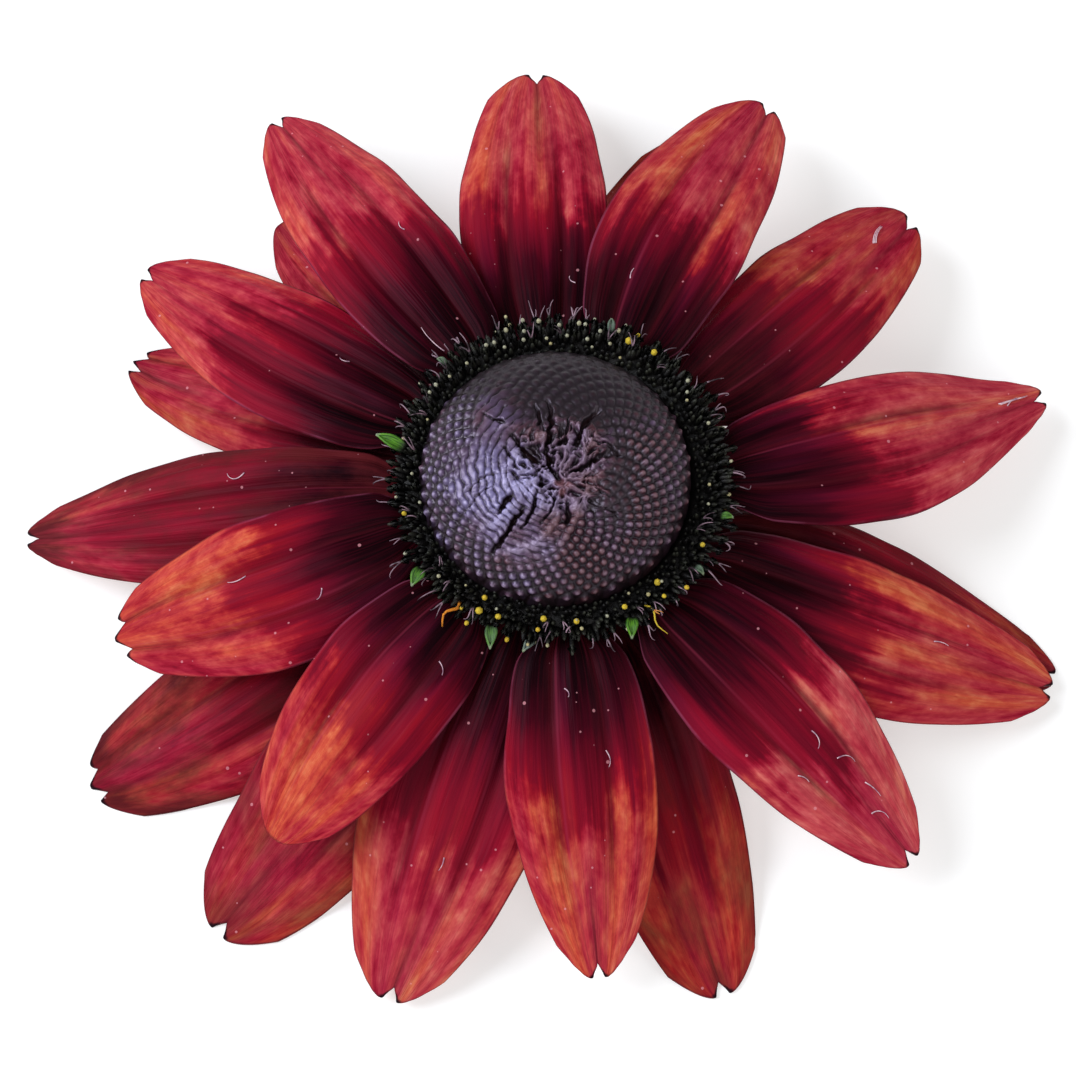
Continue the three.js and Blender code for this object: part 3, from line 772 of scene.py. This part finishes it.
# Cracks and ridges of the skin: points on the dome's unit circle, depth or height and half width in mm.
CRACKS = [
    ([(-0.07, 0.56), (-0.05, 0.46), (-0.07, 0.36), (-0.09, 0.24), (-0.08, 0.10), (-0.03, 0.02)], 0.62, 0.15),
    ([(-0.17, 0.53), (-0.13, 0.43), (-0.15, 0.38)], 0.42, 0.12),
    ([(0.29, 0.50), (0.24, 0.44), (0.16, 0.36), (0.15, 0.30), (0.12, 0.20)], 0.62, 0.18),
    ([(0.46, 0.12), (0.41, 0.17), (0.35, 0.23), (0.28, 0.24)], 0.40, 0.10),
    ([(0.30, 0.13), (0.22, 0.11), (0.14, 0.08), (0.05, 0.07)], 0.55, 0.13),
    ([(-0.25, -0.23), (-0.31, -0.33), (-0.36, -0.45), (-0.42, -0.54), (-0.47, -0.63)], 0.60, 0.15),
    ([(-0.33, -0.14), (-0.38, -0.20), (-0.42, -0.31)], 0.50, 0.17),
    ([(-0.53, 0.44), (-0.46, 0.40), (-0.38, 0.38)], 0.38, 0.10),
    ([(-0.36, 0.31), (-0.30, 0.26), (-0.24, 0.18), (-0.15, 0.12)], 0.50, 0.14),
    ([(-0.42, 0.22), (-0.35, 0.16), (-0.30, 0.06)], 0.32, 0.10),
    ([(0.045, -0.20), (0.06, -0.28), (0.05, -0.38)], 0.45, 0.10),
    ([(0.25, -0.09), (0.32, -0.12), (0.38, -0.16)], 0.32, 0.08),
    ([(0.34, -0.26), (0.40, -0.30), (0.44, -0.36)], 0.30, 0.08),
    ([(-0.17, -0.09), (-0.19, -0.20), (-0.22, -0.34), (-0.27, -0.44)], 0.42, 0.11),
    ([(-0.02, -0.15), (-0.06, -0.25), (-0.13, -0.38)], 0.34, 0.10),
    ([(0.07, 0.46), (0.05, 0.34), (0.06, 0.22)], 0.34, 0.10),
    ([(-0.48, -0.10), (-0.60, -0.20), (-0.66, -0.32)], 0.16, 0.07),
    ([(-0.46, 0.02), (-0.58, -0.06), (-0.68, -0.20)], 0.16, 0.07),
]
RIDGES = [
    ([(-0.27, -0.17), (-0.36, -0.27), (-0.42, -0.38), (-0.51, -0.44)], 0.156, 0.20),
    ([(0.01, -0.22), (-0.02, -0.34), (-0.08, -0.45), (-0.16, -0.54), (-0.29, -0.61), (-0.46, -0.66)],
     0.204, 0.26),
    ([(0.12, -0.18), (0.12, -0.30), (0.09, -0.42), (0.01, -0.60)], 0.192, 0.24),
    ([(0.17, -0.12), (0.19, -0.20), (0.16, -0.30)], 0.156, 0.18),
    ([(-0.01, 0.50), (-0.01, 0.38), (-0.02, 0.24)], 0.156, 0.16),
    ([(0.05, 0.14), (0.11, 0.14), (0.18, 0.16), (0.24, 0.16)], 0.144, 0.15),
    ([(-0.20, 0.08), (-0.28, 0.13), (-0.34, 0.22)], 0.132, 0.15),
    ([(-0.28, 0.38), (-0.36, 0.36), (-0.44, 0.34)], 0.12, 0.15),
    ([(-0.12, -0.14), (-0.14, -0.26), (-0.19, -0.36)], 0.12, 0.14),
    ([(0.33, 0.18), (0.40, 0.11), (0.46, 0.06)], 0.084, 0.12),
]


def disc_skin():
    """Purple brown, with painted shade near black between the knobs and in the cracks, painted highlights on
    the knob tops, and a lavender bloom, partly a painted sheen of the window, thickest on the pressed side.
    """
    material, tree, shader = finish("disc_skin", 0.3, 0.55)
    shader.inputs["Specular Tint"].default_value = (0.92, 0.80, 1.0, 1)
    height = mark(tree, "relief")
    heart = mark(tree, "heart")
    wax_and_sheen = mark(tree, "wax_and_sheen")
    fine = grain(tree, place_in_mm(tree), 3.2, 4.0)
    patches = grain(tree, place_in_mm(tree), 0.22, 3.0)
    crest = mixed(tree, climb(tree, patches, 0.35, 0.7), tint(70, 34, 40), tint(64, 31, 46))
    # Painted sheen of the window: lavender over the crests, partly a real bloom that is also glossier.
    crest = mixed(tree, wax_and_sheen, crest, tint(104, 96, 136))
    # Painted shade: near black in the gaps between the knobs, brown in the deepest cracks.
    pit = mixed(tree, climb(tree, height, 0.0, -0.9), tint(19, 9, 12), tint(44, 22, 22))
    body = mixed(tree, climb(tree, height, 0.26, 0.88), pit, crest)
    # Painted highlights: the knob tops are lighter, lavender where the sheen lies.
    tips = times(tree, climb(tree, height, 0.74, 1.05), 0.75)
    body = mixed(tree, tips, body, mixed(tree, wax_and_sheen, tint(116, 86, 92), tint(172, 166, 210)))
    body = mixed(tree, times(tree, climb(tree, fine, 0.45, 0.7), 0.4), body, tint(36, 24, 30))
    body = mixed(tree, heart, body, tint(112, 70, 76))
    tree.links.new(body, shader.inputs["Base Color"])
    gloss = sum_of(tree, "MULTIPLY_ADD", wax_and_sheen, -0.24, sum_of(tree, "MULTIPLY_ADD", fine, 0.2, 0.34))
    tree.links.new(gloss, shader.inputs["Roughness"])
    bumped(tree, shader, fine, 0.05, 0.7)
    return material


def dome_point(x, y):
    """The dome's smooth surface over its unit circle, in millimetres."""
    rho = min(1.0, math.hypot(x, y))
    height = DOME_HEIGHT * math.sqrt(1 - rho ** 2.6) - DIMPLE_DEPTH * (1 - smooth(rho, 0, 0.42))
    across = DOME_RADIUS * x - RIM_SHIFT * rho * rho
    return Vector((across, DOME_RADIUS * y - DOME_LEAN * (1 - rho * rho), DOME_FOOT + height))


def line_share(x, y, line, half):
    """How near a point on the unit circle is to a bent line: 1 on it, 0 well off it, less at its ends."""
    reach = 3 * half / DOME_RADIUS
    if not (min(p[0] for p in line) - reach < x < max(p[0] for p in line) + reach
            and min(p[1] for p in line) - reach < y < max(p[1] for p in line) + reach):
        return 0.0
    best = 0.0
    for i, ((from_x, from_y), (to_x, to_y)) in enumerate(zip(line, line[1:])):
        run_x, run_y = to_x - from_x, to_y - from_y
        part = ((x - from_x) * run_x + (y - from_y) * run_y) / (run_x * run_x + run_y * run_y)
        part = min(1.0, max(0.0, part))
        away = math.hypot(x - from_x - run_x * part, y - from_y - run_y * part) / reach
        if away < 1:
            whole = (i + part) / (len(line) - 1)
            fade = smooth(whole, -0.15, 0.25) * (1 - smooth(whole, 0.75, 1.15))
            best = max(best, math.exp(-9 * away * away) * fade)
    return best


def disc_to_circle(x, y):
    """A point of the square from -1 to 1 moved onto the unit circle's area, rings to rings."""
    if abs(x) < 1e-9 and abs(y) < 1e-9:
        return 0.0, 0.0
    if abs(x) > abs(y):
        radius, angle = x, math.pi / 4 * y / x
    else:
        radius, angle = y, math.pi / 2 - math.pi / 4 * x / y
    return radius * math.cos(angle), radius * math.sin(angle)


def bud_centre(i):
    """Where closed floret i stands on the unit circle: on a spiral of golden angles."""
    rho = 0.985 * ((i + 0.5) / BUDS) ** 0.475
    return rho * math.cos(i * GOLDEN_ANGLE), rho * math.sin(i * GOLDEN_ANGLE)


def rough(foot, scale, shift=0.0):
    """Soft noise from about -1 to 1, with its own size in waves a millimetre."""
    return noise.noise(foot * scale + Vector((shift, 1.7 * shift, -shift)))


def dome_relief(x, y, foot, buds):
    """How far the skin stands out here in millimetres, the height that the skin's colour turns into painted
    shade and highlights, and how much lavender bloom and painted sheen it has, 0 to 1.
    """
    rho, angle = math.hypot(x, y), math.atan2(y, x)
    (_, _, near), (_, _, second) = buds.find_n(foot, 2)
    knob = 0.78 * max(0.0, 1 - (near / BUD_REACH) ** 1.5) + 0.22 * smooth(second - near, 0.0, 0.34)
    edge = rho + 0.16 * rough(foot, 0.35)
    left = smooth(math.cos(angle - math.radians(194)), -0.05, 0.7)
    right = smooth(math.cos(angle - math.radians(-8)), 0.6, 0.95) * (1 - smooth(edge, 0.48, 0.62))
    centre = 1 - smooth(edge + 0.10 * left + 0.08 * right, 0.28, 0.50)
    pressed = left * (1 - smooth(edge, 0.68, 0.88)) * smooth(edge, 0.2, 0.32)
    top = smooth(math.sin(angle), 0.2, 0.9) * smooth(rho, 0.3, 0.5)
    knobs = knob * BUD_HEIGHT * (1 - 0.85 * centre) * (1 - 0.9 * pressed)
    knobs *= (1 - 0.74 * top) * (1 - 0.6 * right)
    phase = TURN * rho * DOME_RADIUS / STRIP_PITCH + 5 * angle
    phase += 2.6 * rough(foot, 0.55) + 2.2 * rough(foot, 1.3, 2)
    strips = STRIP_HEIGHT * pressed * min(1.0, 2.0 * abs(math.cos(phase / 2)))
    twist = foot + Vector((rough(foot, 0.9, 4), rough(foot, 0.9, 9), 0)) * 0.9
    folds = 1 - 2.8 * abs(rough(twist, 1.25)) + 0.7 * (1 - 2.4 * abs(rough(twist, 2.9, 3)))
    spokes = math.cos(SPOKES * angle + 6 * rough(foot, 0.55, 6))
    spokes *= smooth(rho, 0.04, 0.14) * (1 - smooth(rho, 0.3, 0.46))
    wrinkles = centre * (WRINKLE_HEIGHT * folds * 0.8 + SPOKE_HEIGHT * spokes)
    flat_x = x + 0.016 * rough(foot * 2.2, 1, 2) + 0.022 * rough(foot, 0.8, 5)
    flat_y = y + 0.016 * rough(foot * 2.2, 1, 8) + 0.022 * rough(foot, 0.8, 7)
    stand = knobs + strips + wrinkles
    for line, lift, half in RIDGES:
        stand += lift * line_share(flat_x, flat_y, line, half)
    for line, depth, half in CRACKS:
        stand -= (depth + LIP_HEIGHT) * line_share(flat_x, flat_y, line, half)
        stand += LIP_HEIGHT * line_share(flat_x, flat_y, line, LIP_REACH * half)
    # Painted sheen: the lavender is strongest on the left, towards the window, and in a spot left of the
    # pole.
    window_sheen_spot = math.exp(-((x + 0.46) ** 2 + (y + 0.12) ** 2) / 0.07)
    wax_and_sheen = max(0.0, min(1.0, 0.30 * left + 0.80 * window_sheen_spot + 0.15 * centre + 0.45 * rough(foot, 0.6, 11)))
    return max(stand, -DEEPEST), 0.2 + stand / 0.42, wax_and_sheen


bud_tree = kdtree.KDTree(BUDS)
for i in range(BUDS):
    bud_tree.insert(dome_point(*bud_centre(i)), i)
bud_tree.balance()
bm = bmesh.new()
relief_layer = bm.verts.layers.float.new("relief")
heart_layer = bm.verts.layers.float.new("heart")
wax_and_sheen_layer = bm.verts.layers.float.new("wax_and_sheen")
dome = bmesh.ops.create_grid(bm, x_segments=DOME_SIDES, y_segments=DOME_SIDES, size=1.0)["verts"]
for corner in dome:
    x, y = disc_to_circle(corner.co.x, corner.co.y)
    foot = dome_point(x, y)
    steep = 1.3 * min(1.0, math.hypot(x, y)) ** 1.6
    outward = Vector((x * steep, y * steep, 1.0)).normalized()
    stand, shade, wax_and_sheen = dome_relief(x, y, foot, bud_tree)
    away = min(math.hypot(x - middle[0], y - middle[1]) - reach for middle, reach in HEART)
    heart = 1 - smooth(away + 0.03 * rough(foot, 1.5), -0.02, 0.03)
    corner[relief_layer] = shade
    corner[heart_layer] = heart
    corner[wax_and_sheen_layer] = wax_and_sheen
    corner.co = foot + outward * (stand + 0.22 * heart)
rim = [edge for edge in bm.edges if edge.is_boundary]
for shrink, drop in ((1.0, -0.5), (0.98, -0.6)):
    skirt = bmesh.ops.extrude_edge_only(bm, edges=rim)["geom"]
    corners = [part for part in skirt if isinstance(part, bmesh.types.BMVert)]
    rim = [part for part in skirt if isinstance(part, bmesh.types.BMEdge) and part.is_boundary]
    for corner in corners:
        corner.co = Vector((corner.co.x * shrink, corner.co.y * shrink, corner.co.z + drop))
bmesh.ops.contextual_create(bm, geom=rim)
bmesh.ops.recalc_face_normals(bm, faces=bm.faces)
disc = placed(bm, "disc_dome", [disc_skin()])
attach(disc, "root")
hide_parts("disc")


# ---- Open florets ----
# The lowest florets of the disc: a dense black ring of pointed buds, and outside them open five-lobed
# trumpets, each with a dark anther tube that may carry a bead of pollen, or curled, forked styles.
RING_TOP = 13.0
LEFT_PINCH = 0.45  # how much nearer to the axis the ring's left side stands
COLLAR = [(9.9, 12.5), (11.8, 12.6), (12.1, 12.75), (11.9, 12.95), (10.6, 12.95), (9.9, 12.5)]
BUD_ROWS = [  # radius, count, lean outwards in degrees, height, size
    (10.62, 110, -4, 0.80, 0.44),
    (10.95, 116, 6, 1.00, 0.46),
    (11.30, 120, 16, 1.15, 0.48),
    (11.65, 124, 28, 1.25, 0.50),
    (12.00, 124, 48, 1.20, 0.52),
    (12.12, 124, 78, 1.10, 0.54),
]
FLORET_ROWS = [  # the same, of the open florets
    (11.35, 60, 16, 1.35, 0.46),
    (11.75, 60, 32, 1.45, 0.48),
    (12.10, 64, 50, 1.55, 0.50),
    (12.15, 56, 70, 1.50, 0.52),
]
BEADED = 0.17  # share of the open florets with a bead, and of the rest with a style
STYLED = 0.38
UNFORKED = 0.45  # share of the styles with one arm


def floret_skin():
    """Nearly black, dusty and paler at the tips."""
    material, tree, shader = finish("floret_skin", 0.5, 0.3)
    shade = grain(tree, place_in_mm(tree), 1.1, 3.0)
    fine = grain(tree, place_in_mm(tree), 9.0, 2.0)
    tip = mark(tree, "tip")
    dark = mixed(tree, climb(tree, shade, 0.42, 0.68), tint(7, 5, 6), tint(20, 16, 16))
    dark = mixed(tree, times(tree, tip, climb(tree, shade, 0.44, 0.6)), dark, tint(46, 48, 38))
    dark = mixed(tree, times(tree, tip, climb(tree, fine, 0.60, 0.8)), dark, tint(96, 92, 92))
    tree.links.new(dark, shader.inputs["Base Color"])
    bumped(tree, shader, fine, 0.05)
    return material


def pollen_skin():
    """Cream at ripeness 0, yellow at a half and orange at 1, with dark grains."""
    material, tree, shader = finish("pollen", 0.7, 0.25)
    ripe = mark(tree, "ripe")
    dust = grain(tree, place_in_mm(tree), 12.0, 2.0)
    colour = mixed(tree, climb(tree, ripe, 0.0, 0.5), tint(168, 168, 146), tint(206, 178, 50))
    colour = mixed(tree, climb(tree, ripe, 0.6, 1.0), colour, tint(214, 128, 30))
    dusty = times(tree, climb(tree, dust, 0.5, 0.65), 0.5)
    colour = mixed(tree, dusty, colour, tint(96, 84, 52))
    tree.links.new(colour, shader.inputs["Base Color"])
    bumped(tree, shader, dust, 0.06)
    return material


def style_skin():
    """Dull purple, or orange where the mark is 1."""
    material, tree, shader = finish("style_skin", 0.45, 0.4)
    ripe = mark(tree, "ripe")
    shade = grain(tree, place_in_mm(tree), 0.8)
    colour = mixed(tree, climb(tree, shade, 0.36, 0.62), tint(40, 26, 34), tint(148, 120, 134))
    colour = mixed(tree, climb(tree, ripe, 0.5, 1.0), colour, tint(200, 130, 54))
    tree.links.new(colour, shader.inputs["Base Color"])
    return material


def scale_skin():
    """The stiff scales between the florets: green blades with pale, frayed tips, and painted shade near black
    at their feet among the florets.
    """
    material, tree, shader = finish("scale_skin", 0.5, 0.3)
    where, _, along = blade_place(tree)
    pale = mark(tree, "pale")
    fine = grain(tree, stretched(tree, where, 9.0, 2.0), 1.0, 3.0)
    green = mixed(tree, climb(tree, fine, 0.35, 0.65), tint(24, 62, 10), tint(84, 138, 30))
    green = mixed(tree, pale, green, tint(92, 100, 98))
    # Painted shade: near black at the foot, where the scale goes in among the dark florets.
    shaded_foot = mixed(tree, climb(tree, along, 0.30, 0.0), green, tint(16, 16, 12))
    frayed = mixed(tree, climb(tree, along, 0.82, 1.0), shaded_foot, tint(128, 140, 112))
    tree.links.new(frayed, shader.inputs["Base Color"])
    bumped(tree, shader, fine, 0.06)
    return material


def stepped(steps, share):
    """The radius and height of the step that share has come to on a profile."""
    last = len(steps) - 1
    return steps[min(int(share * last + 0.5), last)]


def trumpet_point(turn, share):
    """Round the outside of a floret's tube to its five spread lobes, and down inside to its throat."""
    reach, height = stepped([(0.0, 0.0), (0.28, 0.02), (0.36, 0.86), (0.60, 1.0), (0.0, 0.7)], share)
    if reach == 0.60:
        lobe = math.cos(5 * turn)
        reach, height = 0.54 + 0.20 * lobe, 1.0 - 0.14 * lobe
    return round_axis(reach, turn, height)


def closed_bud_point(turn, share):
    """A closed floret: a slim body that swells, then draws in to a point."""
    reach, height = stepped([(0.0, 0.0), (0.40, 0.05), (0.50, 0.50), (0.26, 0.86), (0.0, 1.04)], share)
    return round_axis(reach, turn, height)


def copied(bm, mesh, matrix, layer=None, value=0.0):
    """Adds a copy of a small shape to a piece, and marks it with a value for its material."""
    already = len(bm.verts)
    bm.from_mesh(mesh)
    bm.verts.ensure_lookup_table()
    new = bm.verts[already:]
    bmesh.ops.transform(bm, matrix=matrix, verts=new)
    if layer is not None:
        for corner in new:
            corner[layer] = value
    return new


def curled(foot, heading, axis, curl, length):
    """Points along a style that leaves foot along heading and curls over, ever tighter, about axis."""
    points, position, steps = [], foot.copy(), 9
    for i in range(steps):
        points.append(position.copy())
        heading = Matrix.Rotation(curl / steps * (0.3 + 1.5 * i / steps), 3, axis) @ heading
        position += heading * length / steps
    return points


def ring_frame(radius, turn, lean):
    """Where a floret stands on the ring: its place, and the turn that leans it outwards."""
    spin = Matrix.Rotation(turn, 4, "Z")
    radius -= LEFT_PINCH * max(0.0, -math.cos(turn)) ** 2
    return spin @ Matrix.Translation((radius, 0, RING_TOP - 0.3)) @ Matrix.Rotation(lean, 4, "Y")


def collar_point(turn, share):
    """Round the low black band that the ring's florets stand on."""
    reach, height = stepped(COLLAR, share)
    return round_axis(reach, turn, height)


def tip_marked(corners, matrix, layer):
    """Marks the upper ends of a copied shape, which catch dust and weather pale."""
    inverse = matrix.inverted()
    for corner in corners:
        corner[layer] = smooth((inverse @ corner.co).z, 0.6, 1.0)


def on_top(stand, rise, wide, tallness, ripe):
    """A bead of pollen at the height rise in the frame stand."""
    matrix = stand @ Matrix.Translation((0, 0, rise)) @ Matrix.Diagonal((wide, wide, wide * tallness, 1))
    copied(beads, bead, matrix, bead_ripe, ripe)


draw = random.Random(23)
trumpet = template("trumpet", lambda small: rolled(small, 10, 4, trumpet_point))
closed = template("closed", lambda small: rolled(small, 6, 4, closed_bud_point))
anther = template("anther", lambda small: bmesh.ops.create_cone(
    small, cap_ends=True, segments=5, radius1=0.14, radius2=0.10, depth=1.0,
    matrix=Matrix.Translation((0, 0, 0.5))))
bead = template("bead", lambda small: bmesh.ops.create_uvsphere(
    small, u_segments=7, v_segments=5, radius=0.5))
bm = bmesh.new()
tip_layer = bm.verts.layers.float.new("tip")
rolled(bm, 120, 5, collar_point)
beads = bmesh.new()
bead_ripe = beads.verts.layers.float.new("ripe")
styles = bmesh.new()
style_ripe = styles.verts.layers.float.new("ripe")
for row, (radius, count, lean, height, size) in enumerate(BUD_ROWS):
    for i in range(count):
        turn = TURN * (i + 0.5 * (row % 2)) / count + draw.uniform(-0.02, 0.02)
        out = radius + draw.uniform(-0.08, 0.08)
        stand = ring_frame(out, turn, math.radians(lean + draw.uniform(-12, 12)))
        tall = height * draw.uniform(0.75, 1.25)
        matrix = stand @ Matrix.Diagonal((size, size, tall, 1))
        tip_marked(copied(bm, closed, matrix), matrix, tip_layer)
        if row in (1, 2) and draw.random() < 0.04:
            wide = draw.uniform(0.20, 0.30)
            on_top(stand, tall, wide, 1.0, draw.uniform(0.0, 0.2))
for row, (radius, count, lean, height, size) in enumerate(FLORET_ROWS):
    for i in range(count):
        turn = TURN * (i + 0.5 * (row % 2)) / count + draw.uniform(-0.03, 0.03)
        out = radius + draw.uniform(-0.12, 0.12)
        stand = ring_frame(out, turn, math.radians(lean + draw.uniform(-16, 16)))
        tall = height * draw.uniform(0.7, 1.2)
        matrix = stand @ Matrix.Diagonal((size, size, tall, 1))
        tip_marked(copied(bm, trumpet, matrix), matrix, tip_layer)
        rise = tall + draw.uniform(-0.1, 0.45)
        matrix = stand @ Matrix.Diagonal((1, 1, rise, 1))
        tip_marked(copied(bm, anther, matrix), matrix, tip_layer)
        if draw.random() < BEADED:
            front = math.sin(turn) < -0.35 or 0.6 < turn < 1.15
            ripe = draw.uniform(0.45, 0.75) if front and draw.random() < 0.5 else draw.uniform(0.0, 0.2)
            wide = draw.uniform(0.24, 0.36) + 0.35 * max(0.0, ripe - 0.35)
            on_top(stand, rise, wide, 1.2, ripe)
        elif draw.random() < STYLED:
            foot = stand @ Vector((0, 0, rise * 0.95))
            up = (stand.to_3x3() @ Vector((0, 0, 1))).normalized()
            axis = Matrix.Rotation(turn + draw.uniform(-1.4, 1.4), 3, "Z") @ Vector((0, 1, 0))
            ripe = 1.0 if math.sin(turn) < -0.5 and draw.random() < 0.12 else 0.0
            for fork in (-1, 1):
                heading = (up + Matrix.Rotation(turn, 3, "Z") @ Vector((0, 0.25 * fork, 0))).normalized()
                points = curled(foot, heading, axis, draw.uniform(1.5, 5.0), draw.uniform(0.9, 2.1))
                strand(styles, points, draw.uniform(0.055, 0.09), style_ripe, ripe, sides=4)
                if draw.random() < UNFORKED:
                    break

# What stands out of the ring, placed one by one: beads, and the stiff scales that reach past it onto the
# petals.
BEADS = [  # azimuth, radius, width, ripeness
    (64, 12.3, 0.58, 0.58), (54, 12.5, 0.50, 0.52), (-119, 12.7, 0.60, 0.60), (-112, 12.5, 0.50, 0.55),
    (-96, 11.8, 0.52, 0.60), (-84, 12.0, 0.48, 0.66), (-50, 11.5, 0.55, 0.50), (-28, 12.3, 0.42, 0.45),
    (-165, 12.7, 0.40, 0.50), (-138, 12.6, 0.34, 0.10), (20, 12.2, 0.32, 0.08), (38, 12.6, 0.34, 0.05),
    (118, 12.2, 0.34, 0.05), (109, 12.8, 0.38, 0.10), (103, 12.2, 0.32, 0.00), (97, 13.0, 0.40, 0.10),
    (90, 12.4, 0.34, 0.05), (83, 12.7, 0.38, 0.10), (75, 12.3, 0.34, 0.00), (69, 12.9, 0.36, 0.12),
    (112, 11.4, 0.30, 0.05), (104, 11.5, 0.34, 0.00), (95, 11.3, 0.30, 0.10), (87, 11.5, 0.32, 0.05),
    (79, 11.4, 0.34, 0.05), (70, 11.5, 0.30, 0.10), (128, 11.8, 0.30, 0.10), (146, 12.4, 0.30, 0.05),
]
SCALES = [  # azimuth, radius of its middle, length, width, turn off the radius in degrees, height, pale
    (168, 13.3, 2.5, 1.0, -16, 13.6, 0.0), (-143, 13.6, 1.6, 1.0, 24, 13.3, 0.1),
    (-112, 13.9, 1.9, 0.9, 18, 13.1, 0.3), (-66, 13.4, 1.7, 0.9, -25, 13.3, 0.0),
    (-15, 13.2, 1.0, 0.5, 10, 13.6, 0.1), (-100, 13.8, 1.2, 0.6, -30, 13.1, 0.9),
    (-36, 13.1, 0.9, 0.45, -10, 13.5, 0.7), (134, 13.1, 0.9, 0.45, 8, 13.6, 0.7),
    (72, 13.1, 1.2, 0.5, 15, 13.6, 0.8),
]
LONG_STYLES = [  # azimuth, radius where it starts and ends, height, thickness, ripeness
    (-127, 12.6, 15.0, 12.9, 0.16, 1.0), (-58, 12.2, 15.1, 13.1, 0.10, 0.52),
]
SCALE_THICKNESS = 0.14
for azimuth, radius, wide, ripe in BEADS:
    base = min(12.0, radius - 0.1)
    long = max(1.35, 1.3 * (radius - base))
    stand = ring_frame(base, math.radians(azimuth), math.asin((radius - base) / long))
    copied(bm, anther, stand @ Matrix.Diagonal((1, 1, long, 1)))
    on_top(stand, long, wide, 1.15, ripe)
for azimuth, start, end, lift, radius, ripe in LONG_STYLES:
    spin = Matrix.Rotation(math.radians(azimuth), 3, "Z")
    points = []
    for i in range(8):
        out = start + (end - start) * i / 7
        points.append(spin @ Vector((out, 0.25 * math.sin(i), lift + 0.9 * math.sin(math.pi * i / 8))))
    strand(beads, points, radius, bead_ripe, ripe)

chaff = bmesh.new()
chaff.loops.layers.uv.new("blade")
pale_layer = chaff.verts.layers.float.new("pale")
for azimuth, radius, long, wide, swing, height, pale in SCALES:
    spin = Matrix.Rotation(math.radians(azimuth), 4, "Z") @ Matrix.Translation((radius, 0, height))
    spin = spin @ Matrix.Rotation(math.radians(swing), 4, "Z")
    blade = bmesh.ops.create_grid(chaff, x_segments=6, y_segments=10, size=0.5, calc_uvs=True)["verts"]
    for corner in blade:
        side, along = -2 * corner.co.x, corner.co.y + 0.5
        half = wide / 2 * math.sin(math.pi * (0.25 + 0.75 * along)) ** 1.1
        corner[pale_layer] = pale
        up = 0.55 * math.sin(math.pi * along * 0.8) - 0.35 * along + 0.22 * side * side
        corner.co = spin @ Vector((long * (along - 0.5), side * half, up))
scales = placed(chaff, "chaff_scales", [scale_skin()])
thickened(scales, SCALE_THICKNESS)
ring = placed(bm, "open_florets", [floret_skin()])
pollen = placed(beads, "pollen_beads", [pollen_skin()])
curls = placed(styles, "styles", [style_skin()])
for piece in (ring, pollen, curls, scales):
    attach(piece, "root")
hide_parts("disc_florets")


# ---- Floor, light and camera ----
# A plain white table under plain soft studio light: a broad cool window to the left and a weaker
# fill from the right. The camera looks down on the bloom from the front, through a long lens.
FLOOR_HALF = 3.0
TABLE_GLOW = 0.5
ROOM_LIGHT = 0.24
CAMERA_ELEVATION = 70
CAMERA_DISTANCE = 277
CAMERA_TARGET = Vector((-1.5, -4.3, 11.0))
CAMERA_LENS = 120
LIGHTS = [  # name, place in metres, size, watts, colour
    ("window", (-0.46, 0.08, 0.42), 0.46, 4.4, (0.90, 0.94, 1.0)),
    ("front", (0.10, -0.50, 0.50), 0.5, 1.7, (1.0, 0.99, 0.97)),
    ("fill", (0.52, 0.05, 0.36), 0.4, 0.9, (1.0, 0.96, 0.92)),
]

bm = bmesh.new()
bmesh.ops.create_grid(bm, x_segments=4, y_segments=4, size=FLOOR_HALF * 1000)
material, tree, shader = finish("table_top", 0.8, 0.1)
shader.inputs["Base Color"].default_value = (0.6, 0.6, 0.6, 1)
shader.inputs["Emission Color"].default_value = (1.0, 1.0, 1.0, 1)
shader.inputs["Emission Strength"].default_value = TABLE_GLOW
table_top = placed(bm, "table_top", [material])

for name, place, size, watts, colour in LIGHTS:
    lamp = bpy.data.lights.new(name, "AREA")
    lamp.shape = "DISK"
    lamp.size = size
    lamp.energy = watts
    lamp.color = colour
    holder = bpy.data.objects.new(name, lamp)
    holder.location = Vector(place) + AXIS
    holder.rotation_euler = (-Vector(place) + Vector((0, 0, 0.01))).to_track_quat("-Z", "Y").to_euler()
    bpy.context.scene.collection.objects.link(holder)

world = bpy.data.worlds.new("studio")
world.use_nodes = True
room = world.node_tree.nodes["Background"]
room.inputs["Color"].default_value = (0.95, 0.97, 1.0, 1)
room.inputs["Strength"].default_value = ROOM_LIGHT
bpy.context.scene.world = world
bpy.context.scene.view_settings.view_transform = "Standard"

lens = bpy.data.cameras.new("camera")
lens.lens = CAMERA_LENS
lens.sensor_width = 36
camera = bpy.data.objects.new("camera", lens)
tilt = math.radians(CAMERA_ELEVATION)
back = Vector((0, -math.cos(tilt), math.sin(tilt)))
camera.location = TO_ROW @ (CAMERA_TARGET + back * CAMERA_DISTANCE)
camera.rotation_euler = (-back).to_track_quat("-Z", "Y").to_euler()
bpy.context.scene.collection.objects.link(camera)
bpy.context.scene.camera = camera
